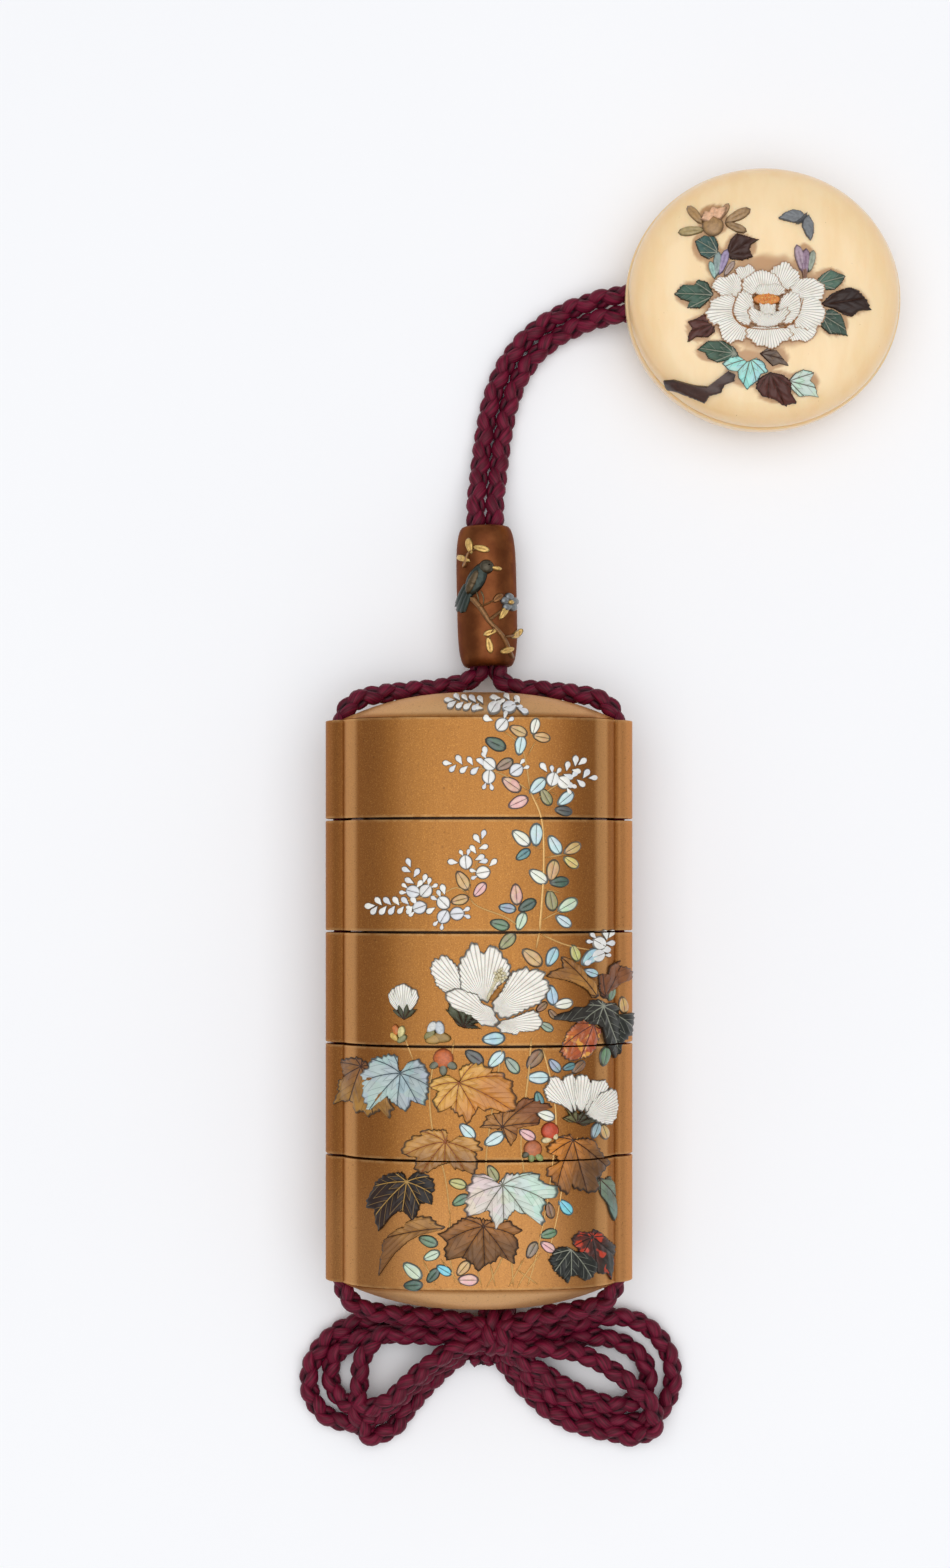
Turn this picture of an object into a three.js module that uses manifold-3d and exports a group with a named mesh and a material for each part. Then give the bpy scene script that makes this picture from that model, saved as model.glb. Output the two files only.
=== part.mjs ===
// A four-tier inro of gold lacquer with raised inlay, lying on its back, with its silk cord, its metal
// bead (ojime) and its round two-part toggle (netsuke). Millimetres, +Z up, +Y towards the lid.
// The origin is the middle of the flat spot on the back of case 2.
import * as THREE from 'three';
import { mergeVertices } from 'three/addons/utils/BufferGeometryUtils.js';
import Module from 'manifold-3d';

const wasm = await Module();
wasm.setup();

// ---- Driving dimensions ----------------------------------------------------------------------------

const OVAL_POWER = 2.45; // the cross-section is a squared oval with this power
const CENTRE_Z = 12; // height of the inro's long axis, and half its flattened depth
const BODY = { a: 20.2, b: 12.2 }; // half width and half depth of the outside
const SOCKET = { a: 17.75, b: 10.65 }; // recess that takes the collar of the section below
const COLLAR = { a: 17.45, b: 10.35 };
const HOLLOW = { a: 16.6, b: 9.5 };
const RUNNER = { x: 19.6, a: 3.4, b: 4.0 }; // the rounded rib at each side that carries the cord
const RUNNER_HOLE = { x: 20.5, radius: 1.7 };

const RIM_Y = 41.8; // where the straight sides end, above and below
const SEAM_YS = [27.0, 10.35, -6.3, -22.95];
const SEAM_GAP = 0.3;
const COLLAR_RISE = 4.2;
const FLOOR = 1.6;
const DOME = { rise: 4.3, power: 2.4, inset: 0.6, innerRise: 3.0 };
const DOME_STEPS = [1, 0.92, 0.75, 0.45, 0];

const OVAL_SIDES = 36;
const INNER_SIDES = 16;
const INLAY_GAP = 0.1; // between an inlay and the lacquer
const NEIGHBOUR_GAP = 0.3; // between two inlays
const LOW_INLAY = 0.65;
const HIGH_INLAY = 0.95;

const CORD = { radius: 1.35, sides: 8, step: 4.2, spacing: 1.44 };
const BEAD = { x: 1.2, y: 61.2, z: 4.5, tilt: 1.2, half: 10.7, radius: 4.575, bore: 3.0 };
const TOGGLE = { x: 43.0, y: 105.9, radius: 20.85, oval: 0.952, slotZ: 5.0, slotDepth: 6.5 };

const { degToRad } = THREE.MathUtils;

// ---- Finishes --------------------------------------------------------------------------------------

const finish = (color, roughness, metalness = 0) =>
  new THREE.MeshStandardMaterial({ color, roughness, metalness });

const LACQUER = finish('#b07e3e', 0.38, 0.55);
const WHITE_INLAY = finish('#ece6d8', 0.4);
const BLUE_SHELL = finish('#9db4b4', 0.3);
const PALE_SHELL = finish('#b9d8c4', 0.25);
const TEAL_SHELL = finish('#5fb4a8', 0.25);
const PINK_SHELL = finish('#a8788c', 0.25);
const AMBER = finish('#c8842c', 0.35);
const BROWN_HORN = finish('#7c5630', 0.4);
const AUTUMN_HORN = finish('#9a4e22', 0.4);
const DARK_HORN = finish('#2c2a22', 0.35);
const GREEN_INLAY = finish('#3c4c36', 0.4);
const OLIVE_INLAY = finish('#5c5a30', 0.4);
const ORANGE_INLAY = finish('#d0642a', 0.4);
const CREAM_BONE = finish('#f2d6a4', 0.35);
const BEAD_METAL = finish('#6e4022', 0.4, 0.8);
const DARK_METAL = finish('#2e302c', 0.4, 0.7);
const PALE_METAL = finish('#b8b09c', 0.35, 0.8);
const SILK = finish('#6c1834', 0.6);

// ---- Solids ----------------------------------------------------------------------------------------

// Merges corners closer than a small distance, and leaves out the faces that this closes up.
function weld(geometry, distance) {
  const merged = mergeVertices(geometry, distance);
  const corners = merged.index.array;
  const faces = [];
  for (let i = 0; i < corners.length; i += 3) {
    const [p, q, r] = corners.slice(i, i + 3);
    if (p !== q && q !== r && r !== p) faces.push(p, q, r);
  }
  merged.setIndex(faces);
  return merged;
}

// Makes a closed geometry a solid with its faces pointing out.
function solid(geometry) {
  const bare = geometry.clone();
  bare.deleteAttribute('normal');
  bare.deleteAttribute('uv');
  const merged = weld(bare, 1e-4);
  const vertProperties = new Float32Array(merged.attributes.position.array);
  const build = (triVerts) => new wasm.Manifold(new wasm.Mesh({ numProp: 3, vertProperties, triVerts }));
  const faces = Uint32Array.from(merged.index.array);
  const made = build(faces);
  return made.volume() >= 0 ? made : build(faces.reverse());
}

// The largest body of a solid, since a cut may leave crumbs beside it.
function largest(body) {
  return body.decompose().reduce((best, next) => (next.volume() > best.volume() ? next : best));
}

function toGeometry(body, sliver) {
  const mesh = body.getMesh();
  const geometry = new THREE.BufferGeometry();
  geometry.setAttribute('position', new THREE.BufferAttribute(Float32Array.from(mesh.vertProperties), 3));
  geometry.setIndex(Array.from(mesh.triVerts));
  const clean = weld(geometry, sliver);
  clean.computeVertexNormals();
  return clean;
}

const inro = new THREE.Group();

// Edges shorter than the sliver length are closed up, so that a cut leaves no needle faces.
function addPiece(name, body, material, sliver = 0.02) {
  const mesh = new THREE.Mesh(toGeometry(body, sliver), material);
  mesh.name = name;
  inro.add(mesh);
}

// ---- The squared oval ------------------------------------------------------------------------------

const squared = (v) => Math.sign(v) * Math.abs(v) ** (2 / OVAL_POWER);

// A closed stack of squared ovals along Y, one for each ring { y, a, b }, flattened at the back.
function ovalStack(rings, sides) {
  const first = { ...rings[0], a: 0, b: 0 };
  const last = { ...rings.at(-1), a: 0, b: 0 };
  const stack = [first, ...rings, last];
  const profile = stack.map((ring, i) => new THREE.Vector2(ring.a > 0 ? 1 : 0, i));
  const geometry = new THREE.LatheGeometry(profile, sides);
  const place = geometry.attributes.position;
  for (let i = 0; i < place.count; i += 1) {
    const { y, a, b } = stack[Math.round(place.getY(i))];
    const radius = Math.hypot(place.getX(i), place.getZ(i)) || 1;
    const x = a * squared(place.getX(i) / radius);
    const z = Math.max(b * squared(place.getZ(i) / radius), -CENTRE_Z);
    place.setXYZ(i, x, y, z + CENTRE_Z);
  }
  return solid(geometry);
}

// The rings of a low dome that closes a squared oval, from its foot to its crown.
function domeRings({ a, b }, y, rise) {
  return DOME_STEPS.slice(0, -1)
    .map((k) => ({ y: y + rise * (1 - k ** DOME.power), a: a * k, b: b * k }))
    .concat({ y: y + rise, a: 0, b: 0 });
}

const grown = ({ a, b }, by) => ({ a: a + by, b: b + by });

function rod(radiusX, radiusZ, x, from, to, sides) {
  const geometry = new THREE.CylinderGeometry(1, 1, to - from, sides);
  geometry.scale(radiusX, 1, radiusZ).translate(x, (from + to) / 2, CENTRE_Z);
  return solid(geometry);
}

// The outside of a stretch of the body with both runners, grown by an even thickness.
function outside(from, to, growth, domes = {}) {
  const size = grown(BODY, growth);
  const rings = [
    ...(domes.below ? domeRings(size, from, -DOME.rise).reverse() : [{ y: from, ...size }]),
    ...(domes.above ? domeRings(size, to, DOME.rise) : [{ y: to, ...size }]),
  ];
  const ribs = [-1, 1].map((side) =>
    rod(RUNNER.a + growth, RUNNER.b + growth, side * RUNNER.x, from, to, 12));
  return ovalStack(rings, OVAL_SIDES).add(ribs[0]).add(ribs[1]);
}

function plainOval(size, from, to) {
  return ovalStack([{ y: from, ...size }, { y: to, ...size }], INNER_SIDES);
}

// ---- The five sections -----------------------------------------------------------------------------

const SECTION_NAMES = ['inro_lid', 'inro_case_1', 'inro_case_2', 'inro_case_3', 'inro_base_case'];
const EDGES = [RIM_Y, ...SEAM_YS, -RIM_Y];
const LAST = SECTION_NAMES.length - 1;

const sectionSpan = (i) => ({
  top: EDGES[i] - (i > 0 ? SEAM_GAP / 2 : 0),
  bottom: EDGES[i + 1] + (i < LAST ? SEAM_GAP / 2 : 0),
});

SECTION_NAMES.forEach((name, i) => {
  const { top, bottom } = sectionSpan(i);
  const isLid = i === 0;
  const isBase = i === LAST;
  const past = 1; // a cut runs this far beyond the face it opens
  const collarTop = EDGES[i] + COLLAR_RISE;
  const floorY = EDGES[i + 1] + COLLAR_RISE + SEAM_GAP + FLOOR;
  let section = outside(bottom, top, 0, { above: isLid, below: isBase });
  if (!isLid) section = section.add(plainOval(COLLAR, top - past, collarTop));
  if (isLid) {
    const inner = domeRings(SOCKET, RIM_Y - DOME.inset, DOME.innerRise);
    section = section.subtract(ovalStack([{ y: bottom - past, ...SOCKET }, ...inner], INNER_SIDES));
  } else if (isBase) {
    const inner = domeRings(HOLLOW, DOME.inset - RIM_Y, -DOME.innerRise).reverse();
    section = section.subtract(ovalStack([...inner, { y: collarTop + past, ...HOLLOW }], INNER_SIDES));
  } else {
    section = section.subtract(plainOval(HOLLOW, floorY, collarTop + past));
  }
  if (!isLid && !isBase) {
    section = section.subtract(plainOval(SOCKET, bottom - past, EDGES[i + 1] + COLLAR_RISE + SEAM_GAP));
  }
  for (const side of [-1, 1]) {
    const { x, radius } = RUNNER_HOLE;
    section = section.subtract(rod(radius, radius, side * x, bottom - past, top + past, 8));
  }
  addPiece(name, section, LACQUER);
});

// ---- Outlines of inlays ----------------------------------------------------------------------------

// Each outline is a function of an extra growth all round, so that a neighbour can be cut clear of it.
// Angles are in degrees, anticlockwise from +X.

function polarOutline([x, y], aim, spokes) {
  return (grow) => new THREE.Shape(spokes.map(([angle, reach]) => {
    const turn = degToRad(aim + angle);
    const radius = reach + grow;
    return new THREE.Vector2(x + radius * Math.cos(turn), y + radius * Math.sin(turn));
  }));
}

// A palmate leaf on its stalk's junction: pointed lobes fanned about the aim, notched at the stalk.
function lobedLeaf(at, aim, reach, { lobes = 5, fan = 52, waist = 0.6 } = {}) {
  const spokes = [[180, reach * 0.12]];
  for (let lobe = 0; lobe < lobes; lobe += 1) {
    const middle = (lobe - (lobes - 1) / 2) * fan;
    const length = reach * (1 - 0.28 * Math.abs(middle) / 104);
    const isOuter = lobes > 3 && (lobe === 0 || lobe === lobes - 1);
    spokes.push([middle - fan / 2, length * waist]);
    if (!isOuter) spokes.push([middle - fan * 0.2, length * 0.84]);
    spokes.push([middle, length]);
    if (!isOuter) spokes.push([middle + fan * 0.2, length * 0.84]);
  }
  const end = (lobes / 2) * fan;
  spokes.push([end, reach * waist * 0.75]);
  return polarOutline(at, aim, spokes);
}

// A petal that fans out from its foot to a softly frilled edge.
function petal(at, aim, length, halfFan) {
  const edge = [[0, 0.06], [-1, 0.55], [-0.85, 0.88], [-0.45, 1], [-0.1, 0.95], [0.3, 1], [0.8, 0.9], [1, 0.55]];
  return polarOutline(at, aim, edge.map(([turn, reach]) => [turn * halfFan, reach * length]));
}

// A pointed oval leaf with its foot at the given point.
function pointedLeaf([x, y], aim, length, width) {
  const turn = degToRad(aim);
  const stations = [[0, 0], [0.2, 0.7], [0.45, 1], [0.75, 0.7], [1, 0]];
  return (grow) => {
    const side = (sign) => stations.map(([t, w]) => {
      const along = t * (length + 2 * grow) - grow;
      const across = sign * (w * width / 2 + grow * (w > 0 ? 1 : 0));
      return new THREE.Vector2(
        x + along * Math.cos(turn) - across * Math.sin(turn),
        y + along * Math.sin(turn) + across * Math.cos(turn));
    });
    return new THREE.Shape([...side(-1), ...side(1).reverse().slice(1, -1)]);
  };
}

function roundOutline(at, radiusX, radiusY, points, frill = 0, waves = 0) {
  return (grow) => {
    const shape = [];
    for (let i = 0; i < points; i += 1) {
      const turn = (i / points) * 2 * Math.PI;
      const swell = 1 + frill * Math.cos(waves * turn);
      shape.push(new THREE.Vector2(
        at[0] + (radiusX * swell + grow) * Math.cos(turn),
        at[1] + (radiusY * swell + grow) * Math.sin(turn)));
    }
    return new THREE.Shape(shape);
  };
}

// A strip of even width along a few points, narrowed at both ends.
function strip(points, width) {
  const path = points.map(([x, y]) => new THREE.Vector2(x, y));
  return (grow) => {
    const side = (sign) => path.map((point, i) => {
      const before = path[Math.max(i - 1, 0)];
      const after = path[Math.min(i + 1, path.length - 1)];
      const along = after.clone().sub(before).normalize();
      const isEnd = i === 0 || i === path.length - 1;
      const reach = sign * (width / 2 * (isEnd ? 0.6 : 1) + grow);
      return new THREE.Vector2(point.x - along.y * reach, point.y + along.x * reach);
    });
    return new THREE.Shape([...side(-1), ...side(1).reverse()]);
  };
}

function prism(shape, low, high) {
  const geometry = new THREE.ExtrudeGeometry(shape, { depth: high - low, bevelEnabled: false });
  return solid(geometry.translate(0, 0, low));
}

// A set of inlays on one surface. Each is an outline cut from a veneer that follows the surface, and
// each later one is cut clear of those laid before it.
function inlayer(veneer, low, high) {
  const veneers = new Map();
  let taken = null;
  const stack = (outlines, grow) => outlines
    .map((outline) => prism(outline(grow), low, high))
    .reduce((whole, next) => whole.add(next));
  return (name, layers, material) => {
    let piece = null;
    for (const { height, outlines } of layers) {
      if (!veneers.has(height)) veneers.set(height, veneer(height));
      const layer = stack(outlines, 0).intersect(veneers.get(height));
      piece = piece ? piece.add(layer) : layer;
    }
    if (taken) piece = piece.subtract(taken);
    addPiece(name, largest(piece), material);
    return () => {
      const claim = stack(layers.flatMap((layer) => layer.outlines), NEIGHBOUR_GAP);
      taken = taken ? taken.add(claim) : claim;
    };
  };
}

// ---- Inlays on the front of the inro ---------------------------------------------------------------

const sectionVeneer = (i) => (height) => {
  const { top, bottom } = sectionSpan(i);
  return outside(bottom, top, height).subtract(outside(bottom - 1, top + 1, INLAY_GAP));
};
const layInSection = SECTION_NAMES.map((_, i) => inlayer(sectionVeneer(i), CENTRE_Z + 1.5, CENTRE_Z + 15));

const low = (...outlines) => [{ height: LOW_INLAY, outlines }];
const raised = (under, over) => [
  { height: LOW_INLAY, outlines: under },
  { height: HIGH_INLAY, outlines: over },
];

// Lays a piece in one section, or in two when it crosses the seam between them.
function layInro(name, sections, layers, material) {
  const suffixes = sections.length > 1 ? ['_upper', '_lower'] : [''];
  const claims = sections.map((i, k) => layInSection[i](name + suffixes[k], layers, material));
  claims.forEach((claim) => claim());
}

const HIBISCUS = [1.6, 0.9];
layInro('hibiscus_blossom', [2], raised(
  [petal(HIBISCUS, 96, 8.2, 34), petal(HIBISCUS, 155, 8.9, 30), petal(HIBISCUS, 25, 9.4, 34)],
  [petal(HIBISCUS, 215, 7.0, 30), petal(HIBISCUS, -42, 6.8, 36), roundOutline([3.0, 2.6], 1.2, 2.2, 8)],
), WHITE_INLAY);
layInro('hibiscus_calyx', [2], low(lobedLeaf([-3.0, -2.3], -110, 3.2, { lobes: 3, fan: 56 })), OLIVE_INLAY);
layInro('bud_blossom', [2], low(petal([-10.9, -1.6], 92, 4.8, 38)), WHITE_INLAY);
layInro('bud_calyx', [2], low(lobedLeaf([-10.9, -2.2], -95, 2.6, { lobes: 3 })), GREEN_INLAY);
layInro('side_blossom', [3], raised(
  [petal([14.3, -16.6], 128, 6.6, 30), petal([14.3, -16.6], 22, 6.2, 28)],
  [petal([14.3, -16.6], 78, 5.8, 34)],
), WHITE_INLAY);
layInro('side_calyx', [3], low(lobedLeaf([14.6, -17.3], -80, 2.4, { lobes: 3 })), OLIVE_INLAY);
layInro('orange_bud', [3], low(roundOutline([-5.0, -8.2], 1.6, 1.5, 10)), ORANGE_INLAY);
layInro('lower_orange_bud', [3], low(roundOutline([8.6, -21.3], 1.5, 1.4, 10)), ORANGE_INLAY);

layInro('grey_shell_leaf', [3], low(lobedLeaf([-11.9, -10.0], -96, 6.4)), BLUE_SHELL);
layInro('golden_leaf', [3], low(lobedLeaf([-16.6, -10.4], -112, 5.6)), BROWN_HORN);
layInro('amber_leaf', [3], low(lobedLeaf([-1.4, -11.4], -88, 6.6, { waist: 0.66 })), AMBER);
layInro('small_amber_leaf', [3, 4], low(lobedLeaf([-4.9, -20.0], -92, 6.0, { fan: 46 })), AMBER);
layInro('small_brown_leaf', [3], low(lobedLeaf([5.2, -15.4], -60, 4.6, { lobes: 4 })), BROWN_HORN);
layInro('autumn_leaf', [3, 4], low(lobedLeaf([14.6, -21.0], -82, 6.4)), AUTUMN_HORN);
layInro('black_leaf', [4], low(lobedLeaf([-11.0, -26.8], -98, 6.0)), DARK_HORN);
layInro('pale_shell_leaf', [4], low(lobedLeaf([4.2, -26.6], -86, 6.9)), PALE_SHELL);
layInro('brown_centre_leaf', [4], low(lobedLeaf([0.4, -32.0], -90, 6.6, { waist: 0.68 })), BROWN_HORN);
layInro('folded_leaf', [4], low(pointedLeaf([-5.9, -31.6], 222, 12.0, 4.6)), BROWN_HORN);
layInro('dark_veined_leaf', [4], low(lobedLeaf([13.6, -36.4], -90, 4.2)), DARK_HORN);
layInro('mottled_leaf', [4], low(lobedLeaf([16.9, -34.6], -75, 4.4, { lobes: 4 })), AUTUMN_HORN);
layInro('slender_leaf', [4], low(pointedLeaf([18.2, -24.9], -86, 7.4, 2.6)), GREEN_INLAY);
layInro('dark_leaf', [2, 3], low(lobedLeaf([17.0, -1.6], -70, 6.6, { waist: 0.55 })), DARK_HORN);
layInro('upper_brown_leaf', [2], low(lobedLeaf([14.6, 3.6], 165, 5.2, { lobes: 3, fan: 60 })), BROWN_HORN);
layInro('shoulder_leaf', [2], low(lobedLeaf([18.4, 3.0], 60, 4.4, { lobes: 3, fan: 60 })), BROWN_HORN);
layInro('tortoiseshell_leaf', [2, 3], low(lobedLeaf([13.2, -4.6], -110, 4.8)), AUTUMN_HORN);

// ---- The bead --------------------------------------------------------------------------------------

const onBead = (body) => body.rotate([0, 0, BEAD.tilt]).translate([BEAD.x, BEAD.y, BEAD.z]);

// The barrel's profile from its lower end to its upper one, grown by an even thickness.
function barrel(grow, inner) {
  const curve = [[3.3, 1], [4.02, 0.93], [4.4, 0.76], [BEAD.radius, 0.45]];
  const half = curve.map(([radius, k]) => [radius + grow, k * (BEAD.half + grow)]);
  const outer = [...half.map(([radius, y]) => [radius, -y]), ...half.slice().reverse()];
  const ends = [[inner, -BEAD.half - grow], ...outer, [inner, BEAD.half + grow]];
  const profile = [...ends, ends[0]].map(([radius, y]) => new THREE.Vector2(radius, y));
  const geometry = new THREE.LatheGeometry(profile, 16);
  const place = geometry.attributes.position;
  for (let i = 0; i < place.count; i += 1) place.setZ(i, Math.max(place.getZ(i), -BEAD.z));
  return solid(geometry);
}

addPiece('ojime_bead', onBead(barrel(0, BEAD.bore)), BEAD_METAL);

const layOnBead = inlayer(
  (height) => barrel(height, BEAD.bore).subtract(barrel(INLAY_GAP, BEAD.bore - 1)), 0.5, BEAD.radius + 2);

// The figures on the bead are laid in the bead's own frame and then moved with it.
function layBead(name, layers, material) {
  layOnBead(name, layers, material)();
  const mesh = inro.children.at(-1);
  mesh.geometry.rotateZ(degToRad(BEAD.tilt)).translate(BEAD.x, BEAD.y, BEAD.z);
}

layBead('ojime_bird', raised(
  [strip([[-4.1, -1.6], [-3.3, 0.0], [-2.2, 1.6]], 1.7), roundOutline([0, 4.0], 1.15, 1.05, 10),
    pointedLeaf([0.7, 4.0], -8, 1.6, 0.7)],
  [strip([[-2.9, 0.2], [-1.6, 2.0], [-0.3, 3.9]], 2.5)],
), DARK_METAL);
layBead('ojime_branch', low(
  strip([[-1.9, -1.2], [-0.6, -2.6], [0.3, -4.0], [2.3, -6.3], [3.4, -9.0]], 0.9),
  strip([[0.3, -4.0], [1.6, -2.9], [2.6, -1.8]], 0.7), roundOutline([3.1, -1.0], 1.5, 1.9, 10, 0.12, 5),
  pointedLeaf([0.9, -4.9], 215, 2.0, 1.0), pointedLeaf([1.6, -5.6], 250, 2.2, 1.0),
  pointedLeaf([1.0, -3.6], 60, 2.0, 1.0),
), PALE_METAL);

// ---- The toggle ------------------------------------------------------------------------------------

// Profiles of the two halves, as [radius, height], each from its own inner face to its outer one.
const FRONT_CURVE = [[20.5, 8.75], [20.4, 10.2], [19.5, 11.9], [17.4, 13.3], [11, 14.35]];
const BACK_CURVE = [[15.5, 0], [18.4, 1.3], [20.1, 3.5], [TOGGLE.radius, 6.6], [20.7, 8.45]];

function toggleHalf(curve, bottom, top, grow = 0) {
  const profile = [[0, bottom], ...curve.map(([r, z]) => [r + grow, z + grow]), [0, top + grow]];
  const geometry = new THREE.LatheGeometry(profile.map(([r, z]) => new THREE.Vector2(r, z)), 24);
  geometry.rotateX(Math.PI / 2).scale(1, TOGGLE.oval, 1).translate(TOGGLE.x, TOGGLE.y, 0);
  return solid(geometry);
}

function cordSlot() {
  const [half, round] = [3.1, 1.6];
  const outline = new THREE.Shape();
  outline.absarc(half - round, 0, round, -Math.PI / 2, Math.PI / 2);
  outline.absarc(round - half, 0, round, Math.PI / 2, (3 * Math.PI) / 2);
  const geometry = new THREE.ExtrudeGeometry(outline, { depth: TOGGLE.slotDepth + 1, bevelEnabled: false,
    curveSegments: 6 });
  geometry.rotateX(Math.PI / 2).rotateZ(Math.PI / 2);
  return solid(geometry.translate(TOGGLE.x - TOGGLE.radius - 1, TOGGLE.y, TOGGLE.slotZ));
}

addPiece('netsuke_front_half', toggleHalf(FRONT_CURVE, 8.75, 14.65), CREAM_BONE);
addPiece('netsuke_back_half', toggleHalf(BACK_CURVE, 0, 8.45).subtract(cordSlot()), CREAM_BONE);

const layOnToggle = inlayer(
  (height) => toggleHalf(FRONT_CURVE, 8.75, 14.65, height)
    .subtract(toggleHalf(FRONT_CURVE, 8, 14.65, INLAY_GAP)), 10, 20);
const fromToggle = ([x, y]) => [TOGGLE.x + x, TOGGLE.y + y];
const layToggle = (name, layers, material) => layOnToggle(name, layers, material)();

layToggle('peony_blossom', [
  { height: 0.8, outlines: [roundOutline(fromToggle([0.1, -0.8]), 8.8, 6.4, 22, 0.05, 11)] },
  { height: 1.5, outlines: [roundOutline(fromToggle([0.3, 0.1]), 5.0, 3.8, 14, 0.06, 7)] },
], WHITE_INLAY);

const TOGGLE_LEAVES = [
  // name, junction from the toggle's middle, aim, reach, finish
  ['leaf_1', [-9.0, 1.0], 180, 4.4, GREEN_INLAY],
  ['leaf_2', [-8.6, -3.4], 205, 3.2, DARK_HORN],
  ['leaf_3', [-5.6, -6.6], 196, 4.6, GREEN_INLAY],
  ['leaf_4', [-2.4, -8.0], -92, 4.6, TEAL_SHELL],
  ['leaf_5', [2.0, -10.4], -84, 4.4, BROWN_HORN],
  ['leaf_6', [5.4, -10.6], -60, 3.6, PALE_SHELL],
  ['leaf_7', [9.4, -3.0], -50, 3.6, GREEN_INLAY],
  ['leaf_8', [10.2, 0.4], -10, 5.4, DARK_HORN],
  ['leaf_9', [5.6, 4.6], 110, 3.2, PINK_SHELL],
  ['leaf_10', [-6.4, 4.2], 95, 3.4, TEAL_SHELL],
  ['leaf_11', [-3.6, 6.6], 50, 3.6, DARK_HORN],
  ['leaf_12', [-7.6, 7.2], 140, 3.0, GREEN_INLAY],
];
for (const [name, at, aim, reach, material] of TOGGLE_LEAVES) {
  layToggle(`netsuke_${name}`, low(lobedLeaf(fromToggle(at), aim, reach, { lobes: 3, fan: 60 })), material);
}
layToggle('netsuke_bud', low(
  petal(fromToggle([-7.0, 10.6]), 95, 3.4, 50),
  pointedLeaf(fromToggle([-7.6, 11.4]), 155, 4.2, 1.6), pointedLeaf(fromToggle([-6.2, 11.4]), 25, 4.4, 1.6),
), AMBER);
layToggle('netsuke_branch', low(
  strip([[-14.6, -11.2], [-12.4, -12.6], [-9.0, -14.1], [-6.2, -13.2], [-4.0, -11.6]].map(fromToggle), 1.5),
), DARK_HORN);
layToggle('netsuke_butterfly', low(
  pointedLeaf(fromToggle([6.8, 10.6]), 150, 4.6, 2.4), pointedLeaf(fromToggle([6.8, 11.0]), 215, 2.2, 1.6),
  pointedLeaf(fromToggle([6.4, 11.0]), -80, 3.0, 2.0),
), BLUE_SHELL);

// ---- The cord --------------------------------------------------------------------------------------

const toPoints = (route) => route.map(([x, y, z]) => new THREE.Vector3(x, y, z));

function cordTube(points, step) {
  const { radius } = CORD;
  const route = new THREE.CatmullRomCurve3(points, false, 'centripetal');
  const steps = Math.round(route.getLength() / step);
  const ring = new THREE.Shape();
  for (let i = 0; i < CORD.sides; i += 1) {
    const turn = ((i + 0.5) / CORD.sides) * 2 * Math.PI;
    const corner = [radius * Math.cos(turn), radius * Math.sin(turn)];
    if (i) ring.lineTo(...corner); else ring.moveTo(...corner);
  }
  const geometry = new THREE.ExtrudeGeometry(ring, { extrudePath: route, steps, bevelEnabled: false });
  return solid(geometry);
}

// The middle line of the double run, from inside the toggle's slot to the foot of the bead.
const DOUBLE_RUN = [
  [27.6, 105.9, 5.0], [22.3, 105.9, 4.9], [17.6, 105.2, 3.2], [12.6, 103.4, 1.7], [8.2, 100.2, 1.5],
  [5.2, 96.2, 1.5], [3.3, 91.4, 1.5], [2.2, 86.0, 1.5], [1.5, 80.4, 2.4], [1.0, 75.6, 4.1],
  [0.97, 72.2, 4.5], [1.08, 67, 4.5], [1.32, 55.4, 4.5], [1.43, 50.4, 4.5], [1.45, 49.4, 4.6],
];
// From the foot of the bead over the lid to the runner's mouth, on the +X side.
const SHOULDER_RUN = [
  [4.8, 47.8, 5.6], [9.2, 47.3, 7.4], [14.6, 46.5, 9.8], [18.2, 45.9, 11.4], [20.2, 44.4, 12],
  [20.5, 42.1, 12],
];
const RUNNER_END = 41.8; // a strand's stretch inside its runner reaches this far up and down

// One strand of the double run, then its own side: side is -1 on the left and 1 on the right.
function strand(side) {
  const middle = toPoints(DOUBLE_RUN);
  const beside = middle.map((point, i) => {
    const before = middle[Math.max(i - 1, 0)];
    const after = middle[Math.min(i + 1, middle.length - 1)];
    const along = after.clone().sub(before).normalize();
    return new THREE.Vector3(point.x - side * along.y * CORD.spacing, point.y + side * along.x * CORD.spacing,
      point.z);
  });
  const ownSide = toPoints(SHOULDER_RUN);
  ownSide.forEach((point) => { point.x *= side; });
  return [...beside, ...ownSide];
}

for (const [name, side] of [['left', -1], ['right', 1]]) {
  const inRunner = toPoints([-1, 1].map((end) => [side * RUNNER_HOLE.x, end * RUNNER_END, CENTRE_Z]));
  addPiece(`cord_${name}_upper`, cordTube(strand(side), CORD.step), SILK);
  addPiece(`cord_${name}_runner`, cordTube(inRunner, 2 * RUNNER_END), SILK);
}

// Below the inro each strand runs down from its runner's mouth to the knot.
const SUPPLY_RUN = [
  [20.5, -42.3, 12], [20.4, -45.2, 11.4], [18.0, -47.1, 10.2], [14.0, -47.6, 8.8], [9.6, -48.0, 7.4],
  [5.0, -49.0, 6.2],
];

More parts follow.
